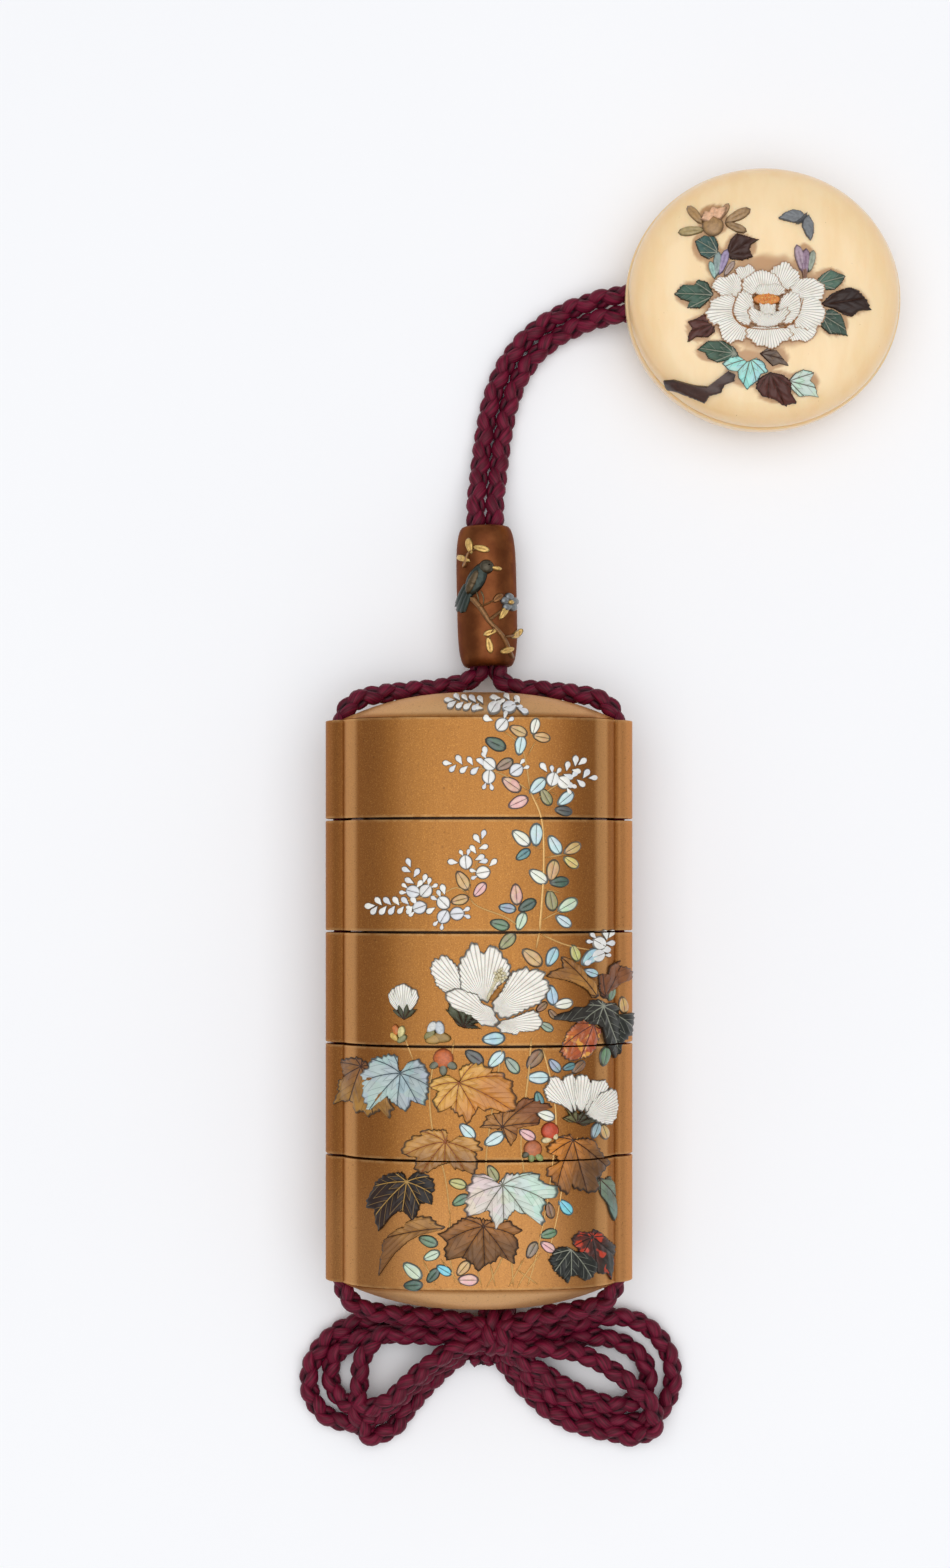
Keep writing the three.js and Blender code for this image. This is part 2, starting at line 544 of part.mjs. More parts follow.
// The bow is three loops a side, lying flat. Each side is the loops' outline with its openings, with a
// second layer where one loop's arm lies on another's.
const BOW_LAYER = { low: 0.1, middle: 2.9, high: 5.7, arm: 4.2, sides: 30 };
const BOW_SIDES = [
  {
    outline: [
      [3, -48.4], [-6, -48.0], [-12, -47.8], [-18, -48.2], [-23.4, -50.9], [-26.9, -55.2], [-27.5, -60],
      [-25.6, -64.4], [-21.4, -67.0], [-18.4, -68.6], [-15.2, -69.0], [-12, -67.2], [-8.6, -62.6],
      [-5, -58.6], [-1.4, -55.4], [3, -54.2],
    ],
    openings: [
      [[-16.2, -53.6], [-10, -53.2], [-6.4, -53.4], [-9.4, -56.2], [-12.8, -60.0], [-15.6, -61.6]],
    ],
    arms: [
      [[2, -50.4], [-6, -50.2], [-13, -50.2], [-18, -51.4], [-21, -54.6]],
      [[2, -52.6], [-4, -54.6], [-8.6, -58], [-13, -62.4], [-17.4, -65.2]],
    ],
  },
  {
    outline: [
      [2, -48.6], [9, -48.2], [14, -48.4], [20, -47.6], [25.4, -48.8], [29.4, -52], [31.2, -57],
      [31, -61.4], [29.2, -64.8], [27.8, -68.0], [24, -68.9], [16, -67.3], [10.6, -65.2], [6.2, -61.4],
      [3.0, -57], [1, -54],
    ],
    openings: [
      [[12.9, -52.6], [17.7, -51.8], [21.4, -53.2], [25.1, -57], [24.9, -58.2], [21.8, -56.1], [17, -53.8]],
      [[10.8, -55.2], [16.6, -56.7], [19.7, -58.4], [22.8, -61.2], [19.3, -61.1], [15.6, -59.6], [12.6, -57.4]],
    ],
    arms: [
      [[3, -50.8], [9, -51], [14, -50.4], [19, -49.8]],
      [[3, -52.6], [9, -53.4], [15, -54.6], [20, -57.2], [24, -60.2], [26.6, -64]],
      [[3, -53.8], [8, -57.8], [13.6, -61.6], [19.6, -64]],
    ],
  },
];
const KNOT = { x: 2.0, y: -51.2, z: 4.2, across: 3.9, halfY: 4.2, halfZ: 4.2 };

function smoothOutline(points, count) {
  const curve = new THREE.CatmullRomCurve3(points.map(([x, y]) => new THREE.Vector3(x, y, 0)), true);
  return curve.getPoints(count).slice(0, -1).map(({ x, y }) => new THREE.Vector2(x, y));
}

function bowSide({ outline, openings, arms }) {
  const { low: floor, middle, high, arm, sides } = BOW_LAYER;
  let side = prism(new THREE.Shape(smoothOutline(outline, sides)), floor, middle);
  for (const opening of openings) {
    side = side.subtract(prism(new THREE.Shape(smoothOutline(opening, 12)), floor - 1, middle + 1));
  }
  for (const path of arms) side = side.add(prism(strip(path, arm)(0), middle - 0.5, high));
  return side;
}

function knot() {
  const band = new THREE.CylinderGeometry(1, 1, KNOT.across, 16).rotateZ(Math.PI / 2);
  band.scale(1, KNOT.halfY, KNOT.halfZ).translate(KNOT.x, KNOT.y, KNOT.z);
  const nub = new THREE.SphereGeometry(1, 8, 6);
  nub.scale(3.3, 2.0, 2.2).translate(KNOT.x - 1.1, KNOT.y - 4.2, 2.4);
  return solid(band).add(solid(nub));
}

let bow = BOW_SIDES.map(bowSide).reduce((whole, side) => whole.add(side), knot());
for (const side of [-1, 1]) {
  bow = bow.add(cordTube(toPoints(SUPPLY_RUN.map(([x, y, z]) => [side * x, y, z])), CORD.step));
}
addPiece('cord_bow', largest(bow), SILK);

export default inro;
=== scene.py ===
"""A tiered inro with its silk cord, bead and netsuke, dressed piece by piece round the packed frame."""
import math
import random

import bmesh
import bpy
from bpy.props import FloatProperty, FloatVectorProperty, IntProperty, PointerProperty
from mathutils import Matrix, Vector, noise


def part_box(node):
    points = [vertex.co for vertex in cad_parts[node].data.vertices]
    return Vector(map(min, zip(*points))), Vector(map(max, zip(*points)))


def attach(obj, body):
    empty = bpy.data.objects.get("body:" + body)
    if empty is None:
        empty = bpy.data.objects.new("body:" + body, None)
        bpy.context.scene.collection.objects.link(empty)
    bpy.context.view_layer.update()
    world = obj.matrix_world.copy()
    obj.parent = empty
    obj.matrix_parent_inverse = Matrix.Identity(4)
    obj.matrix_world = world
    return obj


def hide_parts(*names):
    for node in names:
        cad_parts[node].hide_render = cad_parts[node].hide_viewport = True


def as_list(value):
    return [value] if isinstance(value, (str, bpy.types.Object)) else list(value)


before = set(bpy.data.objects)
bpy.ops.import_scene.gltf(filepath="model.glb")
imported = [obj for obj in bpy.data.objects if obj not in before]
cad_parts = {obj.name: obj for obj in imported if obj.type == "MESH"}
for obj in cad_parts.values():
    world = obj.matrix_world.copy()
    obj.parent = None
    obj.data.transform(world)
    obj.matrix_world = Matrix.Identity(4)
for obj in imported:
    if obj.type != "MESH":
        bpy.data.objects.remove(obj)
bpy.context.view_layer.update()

bl_info = {
    "name": "Tiered Inro",
    "version": (1, 0, 0),
    "blender": (4, 5, 0),
    "location": "3D View > Sidebar > Inro",
    "description": "Makes a lacquered inro with raised inlay, a braided cord, a metal bead and a netsuke",
    "category": "Add Mesh",
}

BODY_NAME = "root"
MM = 0.001  # shapes are worked out in millimetres and brought to metres when a piece is finished
WELD = 1e-4


def box_mm(node):
    low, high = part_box(node)
    return low / MM, high / MM


# ---- Sizes in millimetres ----------------------------

LID_HIGH = box_mm("inro_lid")[1]
AXIS_Z = sum(corner.z for corner in box_mm("cord_left_runner")) / 2
HOLE_X = sum(corner.x for corner in box_mm("cord_right_runner")) / 2
DOME_RISE = 4.3
RIM_Y = LID_HIGH.y - DOME_RISE
DOME_POWER = 2.4
OVAL_POWER = 2.45
# half widths and half depths of the ovals of the inro
BODY = (20.8, 12.2)
SOCKET = (17.75, 10.65)
COLLAR = (17.45, 10.35)
HOLLOW = (16.6, 9.5)
RIB = (3.4, 4.0)
RIB_X = LID_HIGH.x - RIB[0]  # middle of the rib that the cord's runner is in
HOLE_RADIUS = 1.7
SOFT_JOIN = 0.7  # how softly an inlay passes from the body to the rib
COLLAR_ABOVE_LIP = 4.35
SOCKET_DEPTH = 4.35
FLOOR_ABOVE_LIP = 5.95

# the netsuke, whose mouth for the cord is SLOT_DEPTH deep
TOGGLE_LOW, TOGGLE_HIGH = box_mm("netsuke_back_half")
TOGGLE = (TOGGLE_LOW + TOGGLE_HIGH) / 2
TOGGLE_RADIUS = (TOGGLE_HIGH.x - TOGGLE_LOW.x) / 2
TOGGLE_OVAL = (TOGGLE_HIGH.y - TOGGLE_LOW.y) / (TOGGLE_HIGH.x - TOGGLE_LOW.x)
TOGGLE_SEAM = (TOGGLE_HIGH.z, box_mm("netsuke_front_half")[0].z)
TOGGLE_TOP = box_mm("netsuke_front_half")[1].z
TOGGLE_LIP = 0.35  # how far the edge of the face is rounded in from the rim
TOGGLE_FOOT = 15.2  # radius of the flat underside
SLOT_DEPTH = 6.5
SLOT_ROUND = 1.6
SLOT_FLAT = 1.5
SLOT_Z = 5

BEAD_LOW, BEAD_HIGH = box_mm("ojime_bead")
BEAD = Vector(((BEAD_LOW.x + BEAD_HIGH.x) / 2, (BEAD_LOW.y + BEAD_HIGH.y) / 2, 4.5))
BEAD_TILT = math.radians(1.2)
BEAD_HALF = 10.7
BEAD_RADIUS = 4.575
BEAD_END_RADIUS = 3.3
BEAD_BORE = 3.0


# ---- Settings ----------------------------------------

def srgb(code):
    """The linear colour of a hex code such as "#b07e3e"."""
    parts = [int(code[i:i + 2], 16) / 255 for i in (1, 3, 5)]
    return tuple(c / 12.92 if c <= 0.04045 else ((c + 0.055) / 1.055) ** 2.4 for c in parts)


def length_setting(name, description, default):
    return FloatProperty(name=name, description=description, default=default, unit="LENGTH", min=0)


def colour_setting(name, description, code):
    return FloatVectorProperty(name=name, description=description, default=srgb(code), subtype="COLOR",
                               size=3, min=0, max=1)


class InroSizes(bpy.types.PropertyGroup):
    """Sizes of the fine work that a user would change."""
    inlay: length_setting("Inlay height", "How far the large inlays stand above the lacquer", 0.00062)
    leaflet: length_setting("Leaflet height", "How far the small leaflets stand above the lacquer", 0.00034)
    cord: length_setting("Cord thickness", "Thickness of the braided cord over its lumps", 0.0031)
    plait: length_setting("Plait length", "Length of one lump of the braid", 0.0046)
    lip: length_setting("Lip rounding", "Rounding of the edges at the seams", 0.00016)
    columns: IntProperty(name="Columns", description="Faces round one section", default=208, min=48)


class InroColours(bpy.types.PropertyGroup):
    """Colours of the finishes."""
    gold: colour_setting("Gold lacquer", "Main colour of the lacquer", "#9a672f")
    gold_dark: colour_setting("Dark gold", "Darker drifts in the lacquer", "#8a5824")
    silk: colour_setting("Silk", "Colour of the cord", "#741030")
    bone: colour_setting("Netsuke", "Colour of the polished netsuke", "#f6d9ab")
    bead: colour_setting("Bead", "Colour of the bead's brown metal", "#643418")
    white: colour_setting("White inlay", "Colour of the white petals", "#f1ece1")


def sizes():
    return bpy.context.scene.inro_sizes


def colours():
    return bpy.context.scene.inro_colours


# ---- Mesh helpers ------------------------------------

def new_bmesh():
    """An empty bmesh with the layers that the finishes read."""
    bm = bmesh.new()
    bm.verts.layers.float_vector.new("local")
    bm.verts.layers.float_color.new("tint")
    bm.verts.layers.float.new("mark")
    return bm


def patch(bm, columns, rows, place):
    """A grid whose corners go where place(u, v, corner) says, u and v from 0 to 1, welded where it meets."""
    corners = bmesh.ops.create_grid(bm, x_segments=columns, y_segments=rows, size=0.5)["verts"]
    for corner in corners:
        corner.co = place(corner.co.x + 0.5, corner.co.y + 0.5, corner)
    bmesh.ops.remove_doubles(bm, verts=corners, dist=WELD)


def linked(name, bm):
    """A new object in the scene, of a bmesh in metres that is used up."""
    mesh = bpy.data.meshes.new(name)
    bm.to_mesh(mesh)
    bm.free()
    piece = bpy.data.objects.new(name, mesh)
    bpy.context.scene.collection.objects.link(piece)
    return piece


def finish_piece(name, bm, material, slot, replaces=(), crease=38):
    """Makes the object of a finished bmesh, in millimetres, and hands it to the frame."""
    bmesh.ops.dissolve_degenerate(bm, edges=bm.edges, dist=WELD)
    bmesh.ops.recalc_face_normals(bm, faces=bm.faces)
    bmesh.ops.scale(bm, vec=(MM, MM, MM), verts=bm.verts)
    piece = linked(name, bm)
    piece.data.shade_smooth()
    piece.data.set_sharp_from_angle(angle=math.radians(crease))
    piece.data.materials.append(material)
    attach(piece, BODY_NAME)
    if replaces:
        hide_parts(*replaces)
    return piece


def on_ring(middle, turn, wide, tall):
    """The point of an oval ring about a middle that lies in the direction of turn."""
    return middle[0] + wide * math.cos(turn), middle[1] + tall * math.sin(turn)


def mix(a, b, t):
    return a + (b - a) * t


def smooth_step(low, high, value):
    t = min(max((value - low) / (high - low), 0), 1)
    return t * t * (3 - 2 * t)


def wobble(x, y, z=0.0):
    return noise.noise(Vector((x, y, z)))


# ---- The surfaces that inlays lie on -----------------

def front_height(x, y):
    """Height of the inro's front above its axis."""
    scale = 1.0
    if abs(y) > RIM_Y:
        scale = max(1 - (abs(y) - RIM_Y) / DOME_RISE, 0) ** (1 / DOME_POWER)
    across = min(abs(x) / (BODY[0] * scale + 1e-9), 1)
    body = BODY[1] * scale * (1 - across ** OVAL_POWER) ** (1 / OVAL_POWER)
    beside = (abs(x) - RIB_X) / RIB[0]
    rib = RIB[1] * math.sqrt(1 - beside * beside) if abs(beside) < 1 and scale == 1 else 0
    blend = min(max(0.5 + 0.5 * (body - rib) / SOFT_JOIN, 0), 1)
    return mix(rib, body, blend) + SOFT_JOIN * blend * (1 - blend)


def toggle_height(x, y):
    """Height of the netsuke's face, x and y measured from its middle."""
    reach = min(math.hypot(x, y / TOGGLE_OVAL) / (TOGGLE_RADIUS - TOGGLE_LIP), 1)
    return TOGGLE_SEAM[1] + (TOGGLE_TOP - TOGGLE_SEAM[1]) * (1 - reach ** 3.4) ** (1 / 2.4)


def bead_reach(y):
    """Radius of the bead at a distance along it from its middle."""
    along = min(abs(y) / BEAD_HALF, 1)
    return BEAD_END_RADIUS + (BEAD_RADIUS - BEAD_END_RADIUS) * (1 - along ** 4.5) ** (1 / 2)


def bead_height(x, y):
    reach = bead_reach(y)
    return math.sqrt(max(reach * reach - x * x, 0.01))


def draped(height, origin, turn=0.0):
    """Lays a point (x, y) on a surface with a height above it, measured square to the surface."""
    spin = Matrix.Rotation(turn, 3, "Z")
    step = 0.04

    def lay(x, y, above):
        here = height(x, y)
        slope_x = (height(x + step, y) - height(x - step, y)) / (2 * step)
        slope_y = (height(x, y + step) - height(x, y - step)) / (2 * step)
        square = Vector((-slope_x, -slope_y, 1)).normalized()
        return origin + spin @ (Vector((x, y, here)) + square * above)
    return lay


ON_FRONT = draped(front_height, Vector((0, 0, AXIS_Z)))
ON_TOGGLE = draped(toggle_height, Vector((TOGGLE.x, TOGGLE.y, 0)))
ON_BEAD = draped(bead_height, BEAD, BEAD_TILT)


# ---- Inlay shapes ------------------------------------

def inlay(bm, lay, middle, aim, outline, relief, tint, spokes=48, rings=8, base=-0.12, edge=0.45):
    """A closed inlay. outline(turn) is its reach from the middle, relief(x, y, k) its height and its local
    values, both in its own turned frame, and k runs from 0 at the middle to 1 at the edge."""
    layers = bm.verts.layers
    local, colour, mark = layers.float_vector["local"], layers.float_color["tint"], layers.float["mark"]
    cos, sin = math.cos(aim), math.sin(aim)
    reaches = [outline(2 * math.pi * i / spokes - math.pi) for i in range(spokes)]
    rows = rings + 2  # one more down the side and one to the middle of the underside

    def place(u, v, corner):
        row = round(v * rows)
        spoke = round(u * spokes) % spokes
        k = 0 if row in (0, rows) else min(row / rings, 1)
        turn = 2 * math.pi * spoke / spokes - math.pi
        x, y = k * reaches[spoke] * math.cos(turn), k * reaches[spoke] * math.sin(turn)
        height, values = relief(x, y, k)
        if row > rings:
            height = base
        else:
            height *= 1 - (1 - edge) * k ** 12
        corner[local] = values
        across, along = middle[0] + x * cos - y * sin, middle[1] + x * sin + y * cos
        corner[colour] = (*(tint(across, along) if callable(tint) else tint), 1)
        corner[mark] = k
        return lay(across, along, height)
    patch(bm, spokes, rows, place)


VEIN_BEND = 0.035  # how much the main veins of a leaf turn over each millimetre


def drawn(points, middle, aim=0.0, rough=0.0, seed=0.0, frill=0.0, teeth=11):
    """Outline through the given points, seen from the middle in a frame turned by aim, with small teeth."""
    corners = [(x - middle[0], y - middle[1]) for x, y in points]
    edges = list(zip(corners, corners[1:] + corners[:1]))

    def outline(turn):
        cos, sin = math.cos(turn + aim), math.sin(turn + aim)
        reach = 0.3
        for (ax, ay), (bx, by) in edges:
            across, slope = cos * (by - ay) - sin * (bx - ax), ax * sin - ay * cos
            if abs(across) > 1e-9 and 0 <= slope / across <= 1:
                reach = max(reach, (ax * (by - ay) - ay * (bx - ax)) / across)
        tooth = abs(math.sin(teeth * turn + seed)) - 0.6
        return reach * (1 + rough * wobble(turn * 9, seed) + frill * tooth)
    return outline


def faded(codes, middle, aim, reach):
    """A tint that goes from the first colour to the second across the middle, in the direction of aim."""
    first, second = (srgb(code) for code in codes)
    cos, sin = math.cos(math.radians(aim)), math.sin(math.radians(aim))

    def tint(x, y):
        along = ((x - middle[0]) * cos + (y - middle[1]) * sin) / reach
        t = smooth_step(-0.6, 0.6, along + 0.35 * wobble(x * 0.5, y * 0.5, 3.0))
        return tuple(mix(a, b, t) for a, b in zip(first, second))
    return tint


def drawn_leaf(bm, lay, points, middle, foot, aim, tint, height, fan=42, seed=0.0, spokes=168, rings=22):
    """A leaf of a given outline, with a groove along each main vein and rises between the side veins."""
    aim, fan = math.radians(aim), math.radians(fan)
    away = (foot[0] - middle[0], foot[1] - middle[1])
    foot_x = away[0] * math.cos(aim) + away[1] * math.sin(aim)
    foot_y = away[1] * math.cos(aim) - away[0] * math.sin(aim)

    def relief(x, y, k):
        x, y = x - foot_x, y - foot_y
        out = math.hypot(x, y)
        turn = math.atan2(y, x) * (1 + VEIN_BEND * out)
        off = turn - round(turn / fan) * fan
        along, beside = out * math.cos(off), abs(out * math.sin(off))
        groove = math.exp(-(beside / 0.2) ** 2) * smooth_step(0, 0.5, out)
        side = math.cos(2 * math.pi * (along - 1.1 * beside) / 1.3)
        swell = 0.26 * (1 - math.exp(-(beside / 0.8) ** 2)) + 0.07 * side * (1 - groove)
        lift = 0.3 * wobble(x * 0.3 + seed, y * 0.3, seed)
        return height * (0.84 + swell - 0.3 * groove - 0.1 * k * k + lift), (x, y, fan)
    outline = drawn(points, middle, aim, 0.07, seed, -0.05, 17)
    inlay(bm, lay, middle, aim, outline, relief, tint, spokes=spokes, rings=rings)


def drawn_petal(bm, lay, points, middle, foot, tint, height, ribs=9, cup=0.2, seed=0.0, spokes=140, rings=16,
                frill=0.07):
    """A petal of a given outline, with fine ribs that fan from its foot and a lifted edge."""
    def relief(x, y, k):
        x, y = x + middle[0] - foot[0], y + middle[1] - foot[1]
        out = math.hypot(x, y)
        rib = abs(math.sin(math.atan2(y, x) * ribs * 1.3)) * smooth_step(0.8, 2.5, out)
        swell = 0.74 + 0.14 * rib + cup * smooth_step(1, 7, out) + 0.16 * wobble(x * 0.4 + seed, y * 0.4)
        return height * swell, (x, y, seed)
    outline = drawn(points, middle, 0, 0.03, seed, frill)
    inlay(bm, lay, middle, 0, outline, relief, tint, spokes=spokes, rings=rings, edge=0.62)


def blade(length, width, point=0.1, full=0.0):
    """Outline of a pointed oval about its middle, fuller towards its tip by the last value."""
    def outline(turn):
        cos, sin = math.cos(turn), math.sin(turn)
        a, b = length / 2, width / 2 * (1 + full * cos)
        return a * b / math.hypot(b * cos, a * sin) * (1 + point * abs(cos) ** 10)
    return outline


def leaflet(bm, lay, at, aim, length, tint, height, width=0.62, vein=True, spokes=22, full=0.12):
    """A small pointed oval with a split along its middle."""
    def relief(x, y, k):
        split = math.exp(-(y / 0.12) ** 2) if vein else 0
        return height * (1.0 - 0.25 * k * k - 0.3 * split), (x, y if vein else 9.0, length)
    inlay(bm, lay, at, math.radians(aim), blade(length, length * width, full=full), relief, tint,
          spokes=spokes, rings=6, edge=0.35)


def lay_leaflets(bm, lay, rows, height, grow=1.0, **shape):
    """Leaflets from rows of x, y, aim, length and tint, which is a name or a colour code."""
    for x, y, aim, length, tint in rows:
        leaflet(bm, lay, (x, y), aim, length * grow, srgb(TINTS.get(tint, tint)), height, **shape)


def petal(bm, lay, foot, aim, length, width, tint, height, ribs=9, cup=0.25, seed=0.0, spokes=72,
          rings=14):
    """A petal that fans from its foot to a softly frilled edge, with fine ribs from the foot."""
    back, front = 0.6 * length, 0.4 * length
    aim = math.radians(aim)
    middle = (foot[0] + back * math.cos(aim), foot[1] + back * math.sin(aim))

    def outline(turn):
        cos, sin = math.cos(turn), math.sin(turn)
        a, power = (front, 2.5) if cos > 0 else (back, 1.25)
        reach = (abs(cos / a) ** power + abs(sin / (width / 2)) ** power) ** (-1 / power)
        frill = 0.045 * math.sin(turn * 9 + seed * 5) + 0.05 * wobble(seed, turn * 1.4)
        return reach * (1 + frill * smooth_step(-0.2, 0.5, cos))

    def relief(x, y, k):
        fan = math.atan2(y, x + back)
        out = math.hypot(x + back, y) / length
        rib = abs(math.sin(fan * ribs * math.pi / 1.6)) * smooth_step(0.15, 0.5, out)
        swell = 0.75 + 0.12 * rib + cup * out * abs(fan) * 1.1 + 0.12 * wobble(x * 0.5 + seed, y * 0.5)
        return height * swell, (x + back, y, seed)
    inlay(bm, lay, middle, aim, outline, relief, tint, spokes=spokes, rings=rings, edge=0.6)


def knob(bm, lay, at, radius, tint, height, lobes=0, aim=0.0, spokes=24):
    """A round button, lobed like a small flower when it has lobes."""
    def outline(turn):
        return radius * (1 + (0.13 * math.cos(lobes * turn) if lobes else 0))

    def relief(x, y, k):
        crease = 0.25 * abs(math.cos(lobes / 2 * math.atan2(y, x))) if lobes else 0
        return height * (math.sqrt(max(1 - 0.8 * k * k, 0)) - crease * k), (x, y, radius)
    inlay(bm, lay, at, math.radians(aim), outline, relief, tint, spokes=spokes, rings=6, edge=0.5)


CURVE_STEPS = 24  # steps from one given point of a curve to the next


def passing(now, a, start, b, end):
    """Where something is now that is at a at the start and at b at the end."""
    return a * ((end - now) / (end - start)) + b * ((now - start) / (end - start))


def smooth_path(points, spacing):
    """Evenly spaced points along a centripetal Catmull-Rom curve through the given ones."""
    points = [Vector(p) if len(p) == 3 else Vector((*p, 0)) for p in points]
    padded = [2 * points[0] - points[1], *points, 2 * points[-1] - points[-2]]
    dense = []
    for a, b, c, d in zip(padded, padded[1:], padded[2:], padded[3:]):
        t = [0.0]
        for start, end in ((a, b), (b, c), (c, d)):
            t.append(t[-1] + max((end - start).length, 1e-6) ** 0.5)
        for i in range(CURVE_STEPS):
            now = mix(t[1], t[2], i / CURVE_STEPS)
            first, second, third = (passing(now, *pair) for pair in (
                (a, t[0], b, t[1]), (b, t[1], c, t[2]), (c, t[2], d, t[3])))
            before, after = passing(now, first, t[0], second, t[2]), passing(now, second, t[1], third, t[3])
            dense.append(passing(now, before, t[1], after, t[2]))
    dense.append(points[-1])
    even, walked, target = [dense[0]], 0.0, spacing
    for start, end in zip(dense, dense[1:]):
        step = (end - start).length
        while step > 0 and walked + step >= target:
            even.append(start.lerp(end, (target - walked) / step))
            target += spacing
        walked += step
    if (even[-1] - dense[-1]).length > spacing / 2:
        even.append(dense[-1])
    return even


def ridge(bm, lay, points, width, height, tint, taper=0.5, spacing=0.4, sides=6):
    """A raised line on a surface, half round, narrowed towards its ends."""
    path = smooth_path(points, spacing)
    colour, mark = bm.verts.layers.float_color["tint"], bm.verts.layers.float["mark"]
    last = len(path) - 1

    def place(u, v, corner):
        i = round(v * last)
        along = path[min(i + 1, last)] - path[max(i - 1, 0)]
        along.normalize()
        thin = mix(1, taper, i / last)
        half = width / 2 * thin * (0 if i in (0, last) else 1)
        turn = 2 * math.pi * u
        across, up = half * math.cos(turn), height * thin * math.sin(turn)
        corner[colour] = (*tint, 1)
        corner[mark] = 0.5
        return lay(path[i].x - along.y * across, path[i].y + along.x * across, max(up, -0.1))
    patch(bm, sides * 2, last, place)


# ---- Finishes ----------------------------------------

class Finish:
    """Builds one material's nodes round a Principled shader."""

    def __init__(self, name, **values):
        self.material = bpy.data.materials.new(name)
        self.material.use_nodes = True
        self.tree = self.material.node_tree
        self.shader = self.tree.nodes["Principled BSDF"]
        for socket, value in values.items():
            self.shader.inputs[socket.replace("_", " ")].default_value = value

    def node(self, kind, inputs=(), **settings):
        node = self.tree.nodes.new("ShaderNode" + kind)
        for key, value in settings.items():
            setattr(node, key, value)
        for key, value in dict(inputs).items():
            self.feed(node.inputs[key], value)
        return node

    def feed(self, socket, value):
        """Links an output to a socket or sets its value, which may be a colour code."""
        if isinstance(value, str):
            value = srgb(value)
        if isinstance(value, bpy.types.NodeSocket):
            self.tree.links.new(value, socket)
        elif isinstance(value, tuple) and len(value) == 3 and socket.type == "RGBA":
            socket.default_value = (*value, 1)
        else:
            socket.default_value = value

    def math(self, operation, a, b=0.0, c=0.0):
        return self.node("Math", {0: a, 1: b, 2: c}, operation=operation).outputs[0]

    def times(self, a, b):
        return self.math("MULTIPLY", a, b)

    def axes(self, vector):
        return self.node("SeparateXYZ", {0: vector}).outputs

    def blend(self, factor, a, b, kind="MIX"):
        return self.node("Mix", {0: factor, 6: a, 7: b}, data_type="RGBA", blend_type=kind).outputs[2]

    def span(self, value, low, high, to_low=0.0, to_high=1.0, smooth=True):
        """A value that goes from to_low to to_high as another goes from low to high."""
        return self.node("MapRange", {0: value, 1: low, 2: high, 3: to_low, 4: to_high},
                         interpolation_type="SMOOTHSTEP" if smooth else "LINEAR").outputs[0]

    def over(self, tone, value, low, high, share, colour, kind="MIX"):
        """The tone, with a share of a colour over it as a value goes from low to high."""
        return self.blend(self.span(value, low, high, 0, share), tone, colour, kind)

    def place(self, stretch=(1, 1, 1)):
        """Object coordinates in millimetres, stretched."""
        where = self.node("TexCoord").outputs["Object"]
        scale = tuple(s / MM for s in stretch)
        return self.node("Mapping", {"Vector": where, "Scale": scale}).outputs[0]

    def noise(self, scale, stretch=(1, 1, 1), detail=3.0, rough=0.55, vector=None):
        vector = vector or self.place(stretch)
        inputs = {"Vector": vector, "Scale": scale, "Detail": detail, "Roughness": rough}
        return self.node("TexNoise", inputs).outputs["Fac"]

    def cells(self, scale, stretch=(1, 1, 1)):
        return self.node("TexVoronoi", {"Vector": self.place(stretch), "Scale": scale}).outputs["Color"]

    def attribute(self, name, output="Fac"):
        return self.node("Attribute", attribute_name=name).outputs[output]

    def bump(self, height, strength, distance, under=None):
        inputs = {"Height": height, "Strength": strength, "Distance": distance}
        if under:
            inputs["Normal"] = under
        return self.node("Bump", inputs).outputs[0]

    def wear(self, **links):
        for socket, value in links.items():
            self.feed(self.shader.inputs[socket.replace("_", " ")], value)
        return self.material


# where painted shade and painted light go on the lacquer: from and to in millimetres, its share and its
# colour
# painted shade: the flanks darker and redder, turned away from the light
FLANK_PAINTED_SHADE = (8.0, 16.0, 0.5, "#8e4f20")
# painted light: the lower sections lighter, as if more light fell there
FOOT_PAINTED_LIGHT = (-22.0, -34.0, 0.3, "#c08c58")
# painted light: the right rib lighter, as if lit more from the right
RIGHT_RIB_HIGHLIGHT = (20.4, 20.9, 0.6, "#dc9a5e")
# painted highlight: the domes of the lid and the base lighter
CAP_HIGHLIGHTS = (41.9, 42.7, 0.55, "#f0c692")
# bands on the steep shoulders where a painted highlight goes
SHOULDER_HIGHLIGHT_IN, SHOULDER_HIGHLIGHT_OUT = (17.2, 18.1), (19.7, 19.1)
# the painted shade and painted highlights of the lacquer are centred on this line
PAINTED_LIGHT_SHIFT = 0.45  # the tones lie about a line this far to the left of the middle


